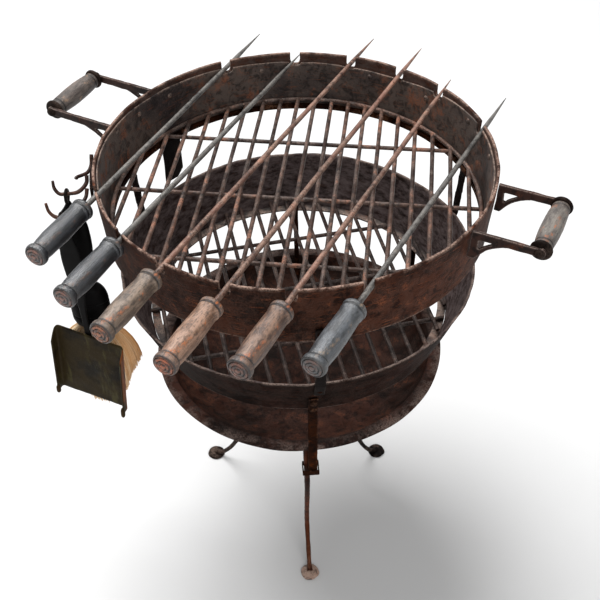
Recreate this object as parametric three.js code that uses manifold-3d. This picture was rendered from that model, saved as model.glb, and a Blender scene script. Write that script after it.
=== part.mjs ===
// A round wrought-iron charcoal grill: three stacked hoops on a tripod, two rod grates, six skewers lying in
// notches of the top hoop, two side handles, and a rack of hooks with a shovel and a hearth brush.
// Millimetres, +Z up. While it is built, the hoops' common axis is x = y = 0 and the floor is z = 0. At the end
// the whole grill is moved so that the origin is under the middle of its bounding box.
import * as THREE from 'three';
import { mergeVertices } from 'three/addons/utils/BufferGeometryUtils.js';
import Module from 'manifold-3d';

const wasm = await Module();
wasm.setup();

// ---------------------------------------------------------------- driving dimensions

const RIM_HEIGHT = 761;
const GAP = 0.35; // left between pieces that touch

const HOOP_SIDES = 60;
const UPPER_HOOP = { topRadius: 275, bottomRadius: 268.6, top: 0, bottom: 93, wall: 4 };
const LINER = { top: 20, wall: 2.4 };
const GRATE_LEDGE = { top: 84, width: 5 };
const FIRE_HOOP = { topRadius: 261, bottomRadius: 228, top: 180, bottom: 266, wall: 3.5 };
const FIRE_LEDGE = { top: 262, innerRadius: 212 };
const PAN = {
  lipRadius: 226, lipInnerRadius: 211, lip: 358, wall: 3,
  sideTop: { radius: 198, depth: 380 }, sideBottom: { radius: 173, depth: 400 },
  floorRadius: 130, floorEdge: 413, floor: 418,
};

const NOTCH = { width: 15, depth: 18, spare: 3 };
const SKEWERS = [
  { frontAngle: -165.0, backAngle: 112.8, butt: 26, tip: 118 },
  { frontAngle: -144.0, backAngle: 89.6, butt: 12, tip: 22 },
  { frontAngle: -127.3, backAngle: 71.0, butt: 17, tip: 86 },
  { frontAngle: -108.4, backAngle: 53.8, butt: 27, tip: 90 },
  { frontAngle: -91.6, backAngle: 37.3, butt: 21, tip: 44 },
  { frontAngle: -72.1, backAngle: 13.9, butt: 36, tip: 97 },
]; // butt: from the front notch to the handle, tip: from the back notch to the point
const SKEWER_ROD = { radius: 3.7, pointRadius: 3.1, point: 80, tang: 62, tangRadius: 3.2, depth: 13.2 };
const SKEWER_HANDLE_LENGTH = 110;

// reach: how far out the cross bars go. The cooking grate's rods end in a ring that lies on its cross bars.
const COOKING_GRATE = { turn: -7.3, pitch: 26.8, rods: 19, bars: [-140, 4, 141], reach: 261, ring: 257.7 };
const FIRE_GRATE = { turn: 11.5, pitch: 25.8, rods: 17, bars: [-102, 12.5, 126], reach: 225.5 };
const GRATE_ROD_RADIUS = 3.25;
const WELD_DEPTH = 1; // how far crossing grate rods are sunk into each other

const STAND_OFF = 0.75; // between a flat bar's inner face and the hoop's widest line
const CLEARANCE = 0.5; // between the upper hoop and the pieces that are shaped to its outside
const STRUT_ANGLES = { front: -84.3, left: 156, right: 21.5 };
const STRUT = { width: 15, thickness: 4, top: 68, bottom: 208 };
const STRAP_ANGLES = { front: -85.9, left: 153.4, right: 34.4 };
const STRAP = { width: 14, thickness: 4, top: 222, bottom: 412 };
const LEG_ANGLES = { front: -88.3, left: 151, right: 32 };
const LEG_RADIUS = 4;
const FEET = {
  front: { reach: 177, angle: -86.7 },
  left: { reach: 189, angle: 151.4 },
  right: { reach: 168, angle: 31 },
}; // the legs are bent by hand, so no two feet are alike
const FOOT = { radius: 16, topRadius: 13, thickness: 5 };
const COLLAR = { height: 11, wall: 2, middle: 403, slack: 0.5 };

const REAR_HANGER = { angle: 90.6, radius: 4 };
const REAR_TAB = { angle: 135.5, halfWidth: 19, top: 32, bottom: 178, clip: 13, thickness: 3 };

const HANDLES = { left: { angle: 151.6, reach: 373 }, right: { angle: -26.6, reach: 355.5 } };
const ARM = {
  spacing: 106, thickness: 5, height: 12, top: 3, eyeRadius: 8,
  // radii and depths of the lower branch at the arm's root, and of the gap above it
  fork: { start: 317, end: 276, bend: 21, foot: 46, gapFrom: 279, gapTo: 299, gapFoot: 31 },
};
const GRIP = { length: 88, radius: 14, endRadius: 11.5, bore: 4.4 };
const FERRULE = { length: 6, radius: 14.8 };
const SPINDLE_RADIUS = 4;

const HOOK_PLATE = { from: 172, to: 191.5, top: 12, height: 20, thickness: 4 };
const HOOK_ROD_RADIUS = 2.6;
const EYE = { radius: 11, bore: 7, thickness: 5 }; // the ring that a tool hangs by
const BRUSH = { x: -309, y: -44, hookDepth: 28, handleEnd: 190, headEnd: 270, bristleEnd: 438 };
const BRUSH_SHAPE = { thickness: 14, headOval: 0.62, bristleOval: 0.3 }; // oval: depth over width
// setBack brings the shovel's weight under its ring.
const SHOVEL = { x: -310, y: -90, hookDepth: 32, turn: -21.5, setBack: 3.0, thickness: 4 };
// The blade leans sideways by the tilt about its middle, which is shifted from the handle's line.
const BLADE = {
  top: 250, bottom: 388, halfWidth: 57, fold: 16, sheet: 2.5, tipRadius: 3.6, tilt: 5.5, shift: -3.5,
};
const BLADE_TIPS = { left: 3, right: 8 }; // how far the rolled tips reach below the sheet

const deg = THREE.MathUtils.degToRad;
const below = (depth) => RIM_HEIGHT - depth; // height of a level given as a depth under the rim

// ---------------------------------------------------------------- materials

const iron = (color, roughness) => new THREE.MeshStandardMaterial({ color, roughness, metalness: 0.75 });
const wood = (color) => new THREE.MeshStandardMaterial({ color, roughness: 0.7, metalness: 0 });
const rustedIron = iron(0x4a3229, 0.75);
const darkIron = iron(0x2e2725, 0.7);
const wornIron = iron(0x6e5d55, 0.6);
const greyWood = wood(0x77695f);
const charredWood = wood(0x3d4045);
const blackLacquer = new THREE.MeshStandardMaterial({ color: 0x14120f, roughness: 0.35 });
const straw = new THREE.MeshStandardMaterial({ color: 0xb08c58, roughness: 0.9 });

// ---------------------------------------------------------------- geometry helpers

const grill = new THREE.Group();

function add(name, geometry, material) {
  const mesh = new THREE.Mesh(geometry, material);
  mesh.name = name;
  grill.add(mesh);
  return mesh;
}

// Vertices only, shared between faces.
function welded(geometry) {
  const bare = geometry.clone();
  bare.deleteAttribute('normal');
  bare.deleteAttribute('uv');
  return mergeVertices(bare, 1e-4);
}

function signedVolume(geometry) {
  const p = geometry.attributes.position;
  const index = geometry.index;
  const [a, b, c] = [new THREE.Vector3(), new THREE.Vector3(), new THREE.Vector3()];
  let sum = 0;
  for (let i = 0; i < index.count; i += 3) {
    a.fromBufferAttribute(p, index.getX(i));
    b.fromBufferAttribute(p, index.getX(i + 1));
    c.fromBufferAttribute(p, index.getX(i + 2));
    sum += a.dot(b.cross(c));
  }
  return sum;
}

// A closed geometry with its faces pointing out and without collapsed triangles.
function closed(geometry) {
  const bare = welded(geometry);
  const source = bare.index.array;
  const kept = [];
  const flip = signedVolume(bare) < 0;
  for (let i = 0; i < source.length; i += 3) {
    const [a, b, c] = [source[i], source[i + 1], source[i + 2]];
    if (a !== b && b !== c && c !== a) kept.push(a, flip ? c : b, flip ? b : c);
  }
  bare.setIndex(kept);
  return bare;
}

function toSolid(geometry) {
  const bare = closed(geometry);
  return new wasm.Manifold(new wasm.Mesh({
    numProp: 3,
    vertProperties: Float32Array.from(bare.attributes.position.array),
    triVerts: Uint32Array.from(bare.index.array),
  }));
}

function toGeometry(solid) {
  const mesh = solid.getMesh();
  const geometry = new THREE.BufferGeometry();
  geometry.setAttribute('position', new THREE.BufferAttribute(new Float32Array(mesh.vertProperties), 3));
  geometry.setIndex(Array.from(mesh.triVerts));
  return geometry;
}

const joined = (geometries) => toGeometry(geometries.map(toSolid).reduce((whole, part) => whole.add(part)));
const cut = (geometry, tools) => toGeometry(tools.map(toSolid).reduce((left, tool) => left.subtract(tool),
  toSolid(geometry)));

// A profile of [radius, z] pairs turned about the z axis. It starts and ends on the axis or closes on itself.
function turned(profile, sides) {
  const points = profile.map(([radius, z]) => new THREE.Vector2(radius, z));
  const geometry = new THREE.LatheGeometry(points, sides);
  geometry.rotateX(Math.PI / 2);
  return closed(geometry);
}

// A section with flat sides of the given radius.
function roundSection(radius, sides = 8) {
  const shape = new THREE.Shape();
  for (let i = 0; i < sides; i += 1) {
    const angle = (2 * Math.PI * i) / sides;
    const corner = [radius * Math.cos(angle), radius * Math.sin(angle)];
    if (i === 0) shape.moveTo(...corner);
    else shape.lineTo(...corner);
  }
  return shape;
}

// A plate of the shape's outline and holes, whichever way round they were drawn, from z = 0 up to the depth.
function plateOf(shape, depth, curveSegments = 5) {
  const { shape: outline, holes } = shape.extractPoints(curveSegments);
  if (THREE.ShapeUtils.isClockWise(outline)) outline.reverse();
  const clean = new THREE.Shape(outline);
  clean.holes = holes.map((points) => new THREE.Path(points));
  return new THREE.ExtrudeGeometry(clean, { depth, bevelEnabled: false });
}

// A round rod bent along a smooth curve through the points.
function bentRod(points, radius, steps, sides = 8) {
  const path = new THREE.CatmullRomCurve3(points.map((p) => new THREE.Vector3(...p)), false, 'centripetal');
  return closed(new THREE.ExtrudeGeometry(roundSection(radius, sides), { steps, extrudePath: path }));
}

// A plate whose outline is in the plane of (outward, up), stood at an angle about z and centred on that plane.
function radialPlate(shape, thickness, angle, sideways = 0) {
  const geometry = plateOf(shape, thickness);
  geometry.translate(0, 0, -thickness / 2 - sideways);
  geometry.rotateX(Math.PI / 2);
  geometry.rotateZ(deg(angle));
  return closed(geometry);
}

// Radius of a tapered hoop's outer face at a depth under the rim.
function outerRadius(hoop, depth) {
  const share = (depth - hoop.top) / (hoop.bottom - hoop.top);
  return THREE.MathUtils.lerp(hoop.topRadius, hoop.bottomRadius, share);
}

// A tapered band between two depths, from its outer radii inwards by the wall.
function taperedBand(topRadius, bottomRadius, top, bottom, wall) {
  const profile = [
    [topRadius, below(top)],
    [bottomRadius, below(bottom)],
    [bottomRadius - wall, below(bottom)],
    [topRadius - wall, below(top)],
    [topRadius, below(top)],
  ];
  return turned(profile, HOOP_SIDES);
}

const onCircle = (radius, angle, z) => new THREE.Vector3(
  radius * Math.cos(deg(angle)), radius * Math.sin(deg(angle)), z);

// ---------------------------------------------------------------- hoops, ledges and pan

// Where a skewer's axis crosses the upper hoop's wall in front and behind.
function skewerCrossings({ frontAngle, backAngle }) {
  const radius = UPPER_HOOP.topRadius - UPPER_HOOP.wall / 2;
  const height = below(SKEWER_ROD.depth);
  return [frontAngle, backAngle].map((angle) => onCircle(radius, angle, height));
}

// The two notches of a skewer. One that the skewer crosses at a slant is cut wider.
function notchTools(skewer) {
  const [front, back] = skewerCrossings(skewer);
  const along = back.clone().sub(front).setZ(0).normalize();
  return [front, back].map((crossing) => {
    const outward = crossing.clone().setZ(0).normalize();
    const cosine = Math.abs(outward.dot(along));
    const tangent = Math.sqrt(1 - cosine ** 2) / cosine;
    const slanted = 2 * SKEWER_ROD.radius / cosine + UPPER_HOOP.wall * tangent + NOTCH.spare;
    const box = new THREE.BoxGeometry(60, Math.max(NOTCH.width, slanted), NOTCH.depth * 2);
    box.rotateZ(Math.atan2(outward.y, outward.x));
    return box.translate(crossing.x, crossing.y, below(0));
  });
}

function buildUpperHoop() {
  const { topRadius, bottomRadius, top, bottom, wall } = UPPER_HOOP;
  const band = taperedBand(topRadius, bottomRadius, top, bottom, wall);
  add('upper_hoop', cut(band, SKEWERS.flatMap(notchTools)), rustedIron);

  const linerTop = outerRadius(UPPER_HOOP, LINER.top) - wall - GAP;
  const linerBottom = bottomRadius - wall - GAP;
  add('liner_hoop', taperedBand(linerTop, linerBottom, LINER.top, bottom, LINER.wall), darkIron);

  const ledgeRadius = linerBottom - LINER.wall - GAP;
  add('grate_ledge', taperedBand(ledgeRadius, ledgeRadius, GRATE_LEDGE.top, bottom, GRATE_LEDGE.width),
    rustedIron);
}

function buildFireHoop() {
  const { topRadius, bottomRadius, top, bottom, wall } = FIRE_HOOP;
  add('fire_hoop', taperedBand(topRadius, bottomRadius, top, bottom, wall), rustedIron);
  const radius = bottomRadius - wall - GAP;
  const ledge = taperedBand(radius, radius, FIRE_LEDGE.top, bottom, radius - FIRE_LEDGE.innerRadius);
  add('fire_ledge', ledge, darkIron);
}

// A shallow dish with a flat lip, of even thickness. Its side slopes in from the lip to the edge of the floor.
function buildAshPan() {
  const { lipRadius, lipInnerRadius, lip, sideTop, sideBottom, floorRadius, floorEdge, floor, wall } = PAN;
  const inside = [
    [lipInnerRadius - wall, below(lip)],
    [sideTop.radius, below(sideTop.depth)],
    [sideBottom.radius, below(sideBottom.depth)],
    [floorRadius, below(floorEdge)],
    [0, below(floor)],
  ];
  const outside = [
    [0, below(floor + wall)],
    [floorRadius + 1, below(floorEdge + wall)],
    [sideBottom.radius + 2, below(sideBottom.depth + wall)],
    [sideTop.radius + wall, below(sideTop.depth + 2)],
    [lipInnerRadius, below(lip + wall)],
    [lipRadius, below(lip + wall)],
    [lipRadius, below(lip)],
  ];
  add('ash_pan', turned([...outside, ...inside].reverse(), HOOP_SIDES), darkIron);
}

// ---------------------------------------------------------------- grates

// Parallel rods lying on cross bars and sunk into them a little, all cut to the circle that they fill.
function weldedGrate({ turn, pitch, rods, bars, reach, ring }, barDepth) {
  const length = (offset) => 2 * Math.sqrt(reach ** 2 - (Math.abs(offset) + GRATE_ROD_RADIUS) ** 2);
  const rodLength = (offset) => (ring ? 2 * Math.sqrt(ring ** 2 - offset ** 2) : length(offset));
  const rodDepth = barDepth - 2 * GRATE_ROD_RADIUS + WELD_DEPTH;
  const pieces = [];
  bars.forEach((offset) => {
    const bar = new THREE.CylinderGeometry(GRATE_ROD_RADIUS, GRATE_ROD_RADIUS, length(offset), 6);
    bar.rotateY(Math.PI / 6);
    bar.rotateZ(Math.PI / 2);
    pieces.push(bar.translate(0, offset, below(barDepth)));
  });
  for (let i = 0; i < rods; i += 1) {
    const offset = (i - (rods - 1) / 2) * pitch;
    const rod = new THREE.CylinderGeometry(GRATE_ROD_RADIUS, GRATE_ROD_RADIUS, rodLength(offset), 6);
    pieces.push(rod.translate(offset, 0, below(rodDepth)));
  }
  if (ring) {
    const hoop = new THREE.TorusGeometry(ring, GRATE_ROD_RADIUS, 6, HOOP_SIDES * 2);
    pieces.push(hoop.translate(0, 0, below(rodDepth)));
  }
  return joined(pieces).rotateZ(deg(turn));
}

function buildGrates() {
  const cookingDepth = GRATE_LEDGE.top - GAP - GRATE_ROD_RADIUS;
  add('cooking_grate', weldedGrate(COOKING_GRATE, cookingDepth), wornIron);
  const fireDepth = FIRE_LEDGE.top - GAP - GRATE_ROD_RADIUS;
  add('fire_grate', weldedGrate(FIRE_GRATE, fireDepth), wornIron);
}

// ---------------------------------------------------------------- struts, straps, legs and collars

// A flat bar lying on a hoop's outside: a line of [radius, depth] points is its inner face.
function flatBar(line, { width, thickness }, angle) {
  const inner = line.map(([radius, depth]) => [radius, below(depth)]);
  const outer = line.map(([radius, depth]) => [radius + thickness, below(depth)]).reverse();
  const outline = [...inner, ...outer].map(([radius, z]) => new THREE.Vector2(radius, z));
  return radialPlate(new THREE.Shape(outline), width, angle);
}

function buildStruts() {
  const line = [
    [outerRadius(UPPER_HOOP, STRUT.top) + STAND_OFF, STRUT.top],
    [UPPER_HOOP.bottomRadius + STAND_OFF, UPPER_HOOP.bottom],
    [FIRE_HOOP.topRadius + STAND_OFF, FIRE_HOOP.top],
    [outerRadius(FIRE_HOOP, STRUT.bottom) + STAND_OFF, STRUT.bottom],
  ];
  for (const [side, angle] of Object.entries(STRUT_ANGLES)) {
    add(`strut_${side}`, flatBar(line, STRUT, angle), darkIron);
  }
}

function buildStraps() {
  const pastLip = PAN.lipRadius + STAND_OFF;
  const line = [
    [outerRadius(FIRE_HOOP, STRAP.top) + STAND_OFF, STRAP.top],
    [FIRE_HOOP.bottomRadius + STAND_OFF, FIRE_HOOP.bottom],
    [pastLip, FIRE_HOOP.bottom + 40],
    [pastLip, STRAP.bottom],
  ];
  for (const [side, angle] of Object.entries(STRAP_ANGLES)) {
    add(`strap_${side}`, flatBar(line, STRAP, angle), rustedIron);
  }
}

// [radius, depth] pairs down a leg: under the pan's lip, in under the pan and out again towards the foot.
const LEG_LINE = [
  [219, 361.5], [219, 415], [205, 470], [168, 560], [139, 640], [134, 680], [144, 708], [158, 732], [173, 750],
];
const LEG_LINE_REACH = 186; // of a foot that this line would end in

function buildLegs() {
  const [, topDepth] = LEG_LINE[0];
  for (const [side, angle] of Object.entries(LEG_ANGLES)) {
    const foot = FEET[side];
    const footMiddle = onCircle(foot.reach, foot.angle, FOOT.thickness / 2);
    const points = LEG_LINE.map(([radius, depth]) => {
      const share = (depth - topDepth) / (RIM_HEIGHT - topDepth);
      const spread = (foot.reach - LEG_LINE_REACH) * share ** 2;
      return onCircle(radius + spread, THREE.MathUtils.lerp(angle, foot.angle, share), below(depth)).toArray();
    });
    points.push([footMiddle.x, footMiddle.y, FOOT.thickness + 1]);
    const bar = bentRod(points, LEG_RADIUS, 18);
    const disc = new THREE.CylinderGeometry(FOOT.topRadius, FOOT.radius, FOOT.thickness, 20);
    disc.rotateX(Math.PI / 2);
    disc.translate(footMiddle.x, footMiddle.y, footMiddle.z);
    add(`leg_${side}`, joined([bar, disc]), wornIron);
  }
}

// A band round the strap's end and the leg beside it.
function buildCollars() {
  const { height, wall, middle, slack } = COLLAR;
  const [legRadius] = LEG_LINE[0];
  for (const [side, strapAngle] of Object.entries(STRAP_ANGLES)) {
    const legOffset = legRadius * Math.sin(deg(strapAngle - LEG_ANGLES[side]));
    const strapSide = STRAP.width / 2 + slack;
    const legSide = legOffset + LEG_RADIUS + slack;
    const inner = legRadius - LEG_RADIUS - slack;
    const outer = PAN.lipRadius + STAND_OFF + STRAP.thickness + slack;
    const box = (grow, tall) => new THREE.BoxGeometry(outer - inner + 2 * grow, strapSide + legSide + 2 * grow, tall);
    const ring = cut(box(wall, height), [box(0, height * 2)]);
    ring.translate((inner + outer) / 2, (strapSide - legSide) / 2, below(middle));
    add(`collar_${side}`, ring.rotateZ(deg(strapAngle)), rustedIron);
  }
}

// A bar standing at the back of the pan, with its top bent over the fire basket's ledge.
const HANGER_LINE = [
  [181, 385], [190, 378], [197, 365], [202, 345], [203, 330], [203, 275], [204, 268], [206.5, 259], [213, 256],
  [221, FIRE_LEDGE.top - REAR_HANGER.radius - GAP],
];

function buildRearHanger() {
  const { radius, angle } = REAR_HANGER;
  const rod = bentRod(HANGER_LINE.map(([r, depth]) => [r, 0, below(depth)]), radius, 20);
  add('rear_hanger', rod.rotateZ(deg(angle)), darkIron);
}

// A dark plate with a clipped corner, hanging on the outside of the upper hoop.
function buildRearTab() {
  const { angle, halfWidth, top, bottom, clip, thickness } = REAR_TAB;
  const outline = [
    [-halfWidth, top], [halfWidth, top], [halfWidth, bottom], [clip - halfWidth, bottom], [-halfWidth, bottom - clip],
  ];
  const shape = new THREE.Shape(outline.map(([across, depth]) => new THREE.Vector2(across, below(depth))));
  const plate = plateOf(shape, thickness);
  plate.rotateX(Math.PI / 2);
  plate.rotateZ(Math.PI / 2);
  plate.translate(outerRadius(UPPER_HOOP, top) + GAP, 0, 0);
  add('rear_tab', closed(plate).rotateZ(deg(angle)), darkIron);
}

// ---------------------------------------------------------------- side handles

// A flat bar on edge with a round end, whose root forks into a triangle on the hoop.
function forkedArm(reach, angle, sideways) {
  const root = UPPER_HOOP.topRadius - 20;
  const { top, height, eyeRadius, fork } = ARM;
  const middle = top + height / 2;
  const shape = new THREE.Shape();
  shape.moveTo(root, below(top));
  shape.lineTo(reach, below(top));
  shape.absarc(reach, below(middle), eyeRadius, Math.PI / 2.4, -Math.PI / 2.4, true);
  shape.lineTo(reach, below(top + height));
  shape.lineTo(fork.start, below(top + height));
  shape.quadraticCurveTo(fork.start - 22, below(fork.bend), fork.end + 10, below(fork.foot - 13));
  shape.lineTo(fork.end, below(fork.foot));
  shape.lineTo(root, below(fork.foot));
  const gap = new THREE.Path();
  gap.moveTo(fork.gapFrom, below(top + height));
  gap.lineTo(fork.gapTo, below(top + height));
  gap.quadraticCurveTo(fork.gapFrom + 8, below(fork.bend), fork.gapFrom, below(fork.gapFoot));
  const hole = new THREE.Path();
  hole.absarc(reach, below(middle), GRIP.bore, 0, 2 * Math.PI, true);
  shape.holes = [gap, hole];
  const plate = radialPlate(shape, ARM.thickness, angle, sideways);
  const rootDepth = fork.foot + height;
  const inside = turned([
    [0, below(-height)],
    [UPPER_HOOP.topRadius + CLEARANCE, below(-height)],
    [UPPER_HOOP.topRadius + CLEARANCE, below(0)],
    [outerRadius(UPPER_HOOP, rootDepth) + CLEARANCE, below(rootDepth)],
    [0, below(rootDepth)],
  ].reverse(), HOOP_SIDES * 2);
  return cut(plate, [inside]);
}

// Turned pieces on the handle's spindle: a profile of [radius, distance along it] pairs.
function onSpindle(profile, sides, { angle, reach }) {
  const piece = turned(profile, sides);
  piece.rotateX(Math.PI / 2);
  piece.translate(reach, 0, below(ARM.top + ARM.height / 2));
  return piece.rotateZ(deg(angle));
}

function buildHandle(side) {
  const handle = HANDLES[side];
  const half = ARM.spacing / 2;
  // The arm towards negative sideways offset is the front one on the left, and the back one on the right.
  const names = side === 'left' ? ['front', 'back'] : ['back', 'front'];
  add(`handle_${side}_arm_${names[0]}`, forkedArm(handle.reach, handle.angle, half), darkIron);
  add(`handle_${side}_arm_${names[1]}`, forkedArm(handle.reach, handle.angle, -half), darkIron);

  const inEnd = half + ARM.thickness / 2 + GAP;
  const head = 4;
  const spindle = [
    [0, -inEnd - head], [6, -inEnd - head], [7.5, -inEnd], [SPINDLE_RADIUS, -inEnd],
    [SPINDLE_RADIUS, inEnd], [7.5, inEnd], [6, inEnd + head], [0, inEnd + head],
  ];
  add(`spindle_${side}`, onSpindle(spindle, 12, handle), darkIron);

  const { length, radius, endRadius, bore } = GRIP;
  const grip = [
    [bore, -length / 2], [endRadius, -length / 2], [endRadius + 0.5, -length / 2 + 8], [radius, -length / 6],
    [radius, length / 6], [endRadius + 0.5, length / 2 - 8], [endRadius, length / 2], [bore, length / 2],
    [bore, -length / 2],
  ];
  add(`grip_${side}`, onSpindle(grip, 16, handle), greyWood);
  const ends = side === 'left' ? [['back', 1], ['front', -1]] : [['front', 1], ['back', -1]];
  ends.forEach(([end, sign]) => {
    const near = sign * (length / 2 + GAP);
    const far = near + sign * FERRULE.length;
    const ring = [
      [bore, near], [FERRULE.radius, near], [FERRULE.radius, far], [bore, far], [bore, near],
    ];
    add(`ferrule_${side}_${end}`, onSpindle(ring, 14, handle), darkIron);
  });
}

// ---------------------------------------------------------------- skewers

const HANDLE_PROFILE = [
  [11, 0], [15.5, 3], [15.5, 8], [13.6, 12], [14.6, 34], [15, 60], [13.4, 92], [15.6, 98], [15.6, 106],
  [12.5, SKEWER_HANDLE_LENGTH],
]; // [radius, distance from the fore end]

// The skewer's own frame has its axis along x, pointing at the tip, with the handle's fore end at x = 0.
const alongX = (profile, sides) => turned(profile, sides).rotateY(Math.PI / 2);

function buildSkewer(skewer, number) {
  const [front, back] = skewerCrossings(skewer);
  const direction = back.clone().sub(front).normalize();
  const start = front.clone().addScaledVector(direction, -skewer.butt);
  const rodLength = skewer.butt + front.distanceTo(back) + skewer.tip;
  const turn = Math.atan2(direction.y, direction.x);
  const place = (geometry) => geometry.rotateZ(turn).translate(start.x, start.y, start.z);

  const { radius, pointRadius, point, tang, tangRadius } = SKEWER_ROD;
  const rod = [
    [0, -tang], [tangRadius, -tang], [tangRadius, 0.6], [radius, 0.6], [pointRadius, rodLength - point],
    [0, rodLength],
  ];
  add(`skewer_${number}_rod`, place(alongX(rod, 8)), number <= 2 ? wornIron : rustedIron);

  const bore = tangRadius + GAP;
  const handle = [
    [0, -tang - 1], [bore, -tang - 1], [bore, 0],
    ...HANDLE_PROFILE.map(([r, x]) => [r, -x]),
    [0, -SKEWER_HANDLE_LENGTH],
  ];
  add(`skewer_${number}_handle`, place(alongX(handle, 14)), number <= 2 ? charredWood : greyWood);
}

// ---------------------------------------------------------------- tool rack, shovel and brush

// [x, y, depth] along each hook, from its root on the plate to its point.
const HOOK_ROOT = -UPPER_HOOP.topRadius - CLEARANCE - HOOK_PLATE.thickness - HOOK_ROD_RADIUS - GAP;
const HOOK_LINES = {
  hook_brush: [
    [HOOK_ROOT, -22, 14], [HOOK_ROOT - 1, -30, 22], [BRUSH.x + 16, BRUSH.y + 1, 26], [BRUSH.x, BRUSH.y, 28],
    [BRUSH.x - 9, BRUSH.y - 1, 27], [BRUSH.x - 15, BRUSH.y + 2, 20], [BRUSH.x - 16, BRUSH.y + 5, 10],
  ],
  hook_shovel: [
    [HOOK_ROOT + 4.7, -52, 14], [HOOK_ROOT + 2, -63, 23], [SHOVEL.x + 16, SHOVEL.y + 2, 29],
    [SHOVEL.x, SHOVEL.y, 32], [SHOVEL.x - 9, SHOVEL.y + 2, 31], [SHOVEL.x - 15, SHOVEL.y + 4, 24],
    [SHOVEL.x - 17, SHOVEL.y + 6, 13],
  ],
  hook_stay: [
    [HOOK_ROOT - 0.5, 27, 14], [HOOK_ROOT - 1.5, 18, 26], [HOOK_ROOT - 6, 8, 31], [HOOK_ROOT - 18, 0, 32],
    [HOOK_ROOT - 19, -8, 28], [HOOK_ROOT - 14, -23, 18],
  ],
};

function buildRack() {
  const { from, to, top, height, thickness } = HOOK_PLATE;
  const radius = UPPER_HOOP.topRadius + CLEARANCE;
  const shape = new THREE.Shape();
  shape.absarc(0, 0, radius + thickness, deg(from), deg(to), false);
  shape.absarc(0, 0, radius, deg(to), deg(from), true);
  const plate = plateOf(shape, height, 8);
  add('hook_plate', closed(plate.translate(0, 0, below(top + height))), darkIron);
  for (const [name, line] of Object.entries(HOOK_LINES)) {
    add(name, bentRod(line.map(([x, y, depth]) => [x, y, below(depth)]), HOOK_ROD_RADIUS, 16), darkIron);
  }
}

// The ring that a tool hangs by, in the plane of (y, z). The top of its bore rests on the hook.
function toolEye({ x, y, hookDepth }) {
  const { radius, bore, thickness } = EYE;
  const half = thickness / 2;
  const ring = turned([[bore, -half], [radius, -half], [radius, half], [bore, half], [bore, -half]], 20);
  return ring.rotateY(Math.PI / 2).translate(x, y, below(eyeMiddle(hookDepth)));
}

const eyeMiddle = (hookDepth) => hookDepth + EYE.bore - HOOK_ROD_RADIUS - GAP;

// An upright plate, centred on the plane of (x, z), from [half width, depth] pairs down each side.
function uprightPlate(leftLine, rightLine, thickness) {
  const rightSide = rightLine.map(([across, depth]) => new THREE.Vector2(across, below(depth)));
  const leftSide = leftLine.map(([across, depth]) => new THREE.Vector2(-across, below(depth)));
  const plate = plateOf(new THREE.Shape([...rightSide, ...leftSide.reverse()]), thickness);
  return plate.rotateX(Math.PI / 2).translate(0, thickness / 2, 0);
}

// Widest where the hand holds it, then a narrow strip down to the blade.
const SHOVEL_HANDLE_LINE = [
  [4, 44], [8, 60], [14.5, 85], [16.5, 112], [14, 145], [8, 180], [5, 205], [5, 292],
];

function buildShovel() {
  const { x, y, turn, setBack, thickness } = SHOVEL;
  const place = (geometry) => geometry.translate(0, setBack, 0).rotateZ(deg(turn)).translate(x, y, 0);
  const handle = uprightPlate(SHOVEL_HANDLE_LINE, SHOVEL_HANDLE_LINE, thickness);
  add('shovel_handle', joined([toolEye(SHOVEL), place(handle)]), darkIron);

  // A plate in front of the handle's end, with both sides folded forwards and a rolled tip below each side.
  const { top, bottom, halfWidth, fold, sheet, tipRadius, tilt, shift } = BLADE;
  const back = -thickness / 2 - GAP;
  const inner = halfWidth - sheet;
  const section = new THREE.Shape([
    [-halfWidth, -fold], [-halfWidth, 0], [halfWidth, 0], [halfWidth, -fold],
    [inner, -fold], [inner, -sheet], [-inner, -sheet], [-inner, -fold],
  ].map(([across, forward]) => new THREE.Vector2(across, forward)));
  const half = (bottom - top) / 2;
  const plate = plateOf(section, 2 * half).translate(0, back, -half);
  const tips = [[-1, BLADE_TIPS.left], [1, BLADE_TIPS.right]].map(([side, reach]) => {
    const length = reach + 3 * tipRadius;
    const tip = new THREE.CylinderGeometry(tipRadius, tipRadius * 0.8, length, 10);
    tip.rotateX(Math.PI / 2);
    return tip.translate(side * (halfWidth - 1), back - fold, -half - reach + length / 2);
  });
  const blade = joined([plate, ...tips]).rotateY(deg(tilt)).translate(shift, 0, below(top + half));
  add('shovel_blade', place(blade), blackLacquer);
}

// The brush's handle is a little lopsided: its left side bulges further than its right.
const BRUSH_LEFT_LINE = [[6, 43], [11, 52], [24, 78], [27, 118], [23, 150], [12, BRUSH.handleEnd]];
const BRUSH_RIGHT_LINE = [[6, 43], [10, 52], [20, 75], [21, 112], [17, 150], [12, BRUSH.handleEnd]];

function buildBrush() {
  const { x, y, handleEnd, headEnd, bristleEnd } = BRUSH;
  const paddle = uprightPlate(BRUSH_LEFT_LINE, BRUSH_RIGHT_LINE, BRUSH_SHAPE.thickness).translate(x, y, 0);
  add('brush_handle', joined([toolEye(BRUSH), paddle]), blackLacquer);

  const oval = (geometry, share) => geometry.scale(1, share, 1).translate(x, y, 0);
  const headTop = handleEnd + GAP;
  const head = turned([
    [0, below(headTop)], [14, below(headTop)], [25, below(200)], [29.5, below(217)], [29.5, below(262)],
    [22, below(headEnd)], [0, below(headEnd)],
  ], 18);
  add('brush_head', oval(head, BRUSH_SHAPE.headOval), blackLacquer);
  const bristleTop = headEnd + GAP;
  const bristles = turned([
    [0, below(bristleTop)], [21, below(bristleTop)], [43, below(284)], [55, below(302)], [66, below(345)],
    [61, below(358)], [46, below(378)], [36, below(412)], [22, below(436)], [0, below(bristleEnd)],
  ], 18);
  add('brush_bristles', oval(bristles, BRUSH_SHAPE.bristleOval), straw);
}

// ---------------------------------------------------------------- assembly

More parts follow.
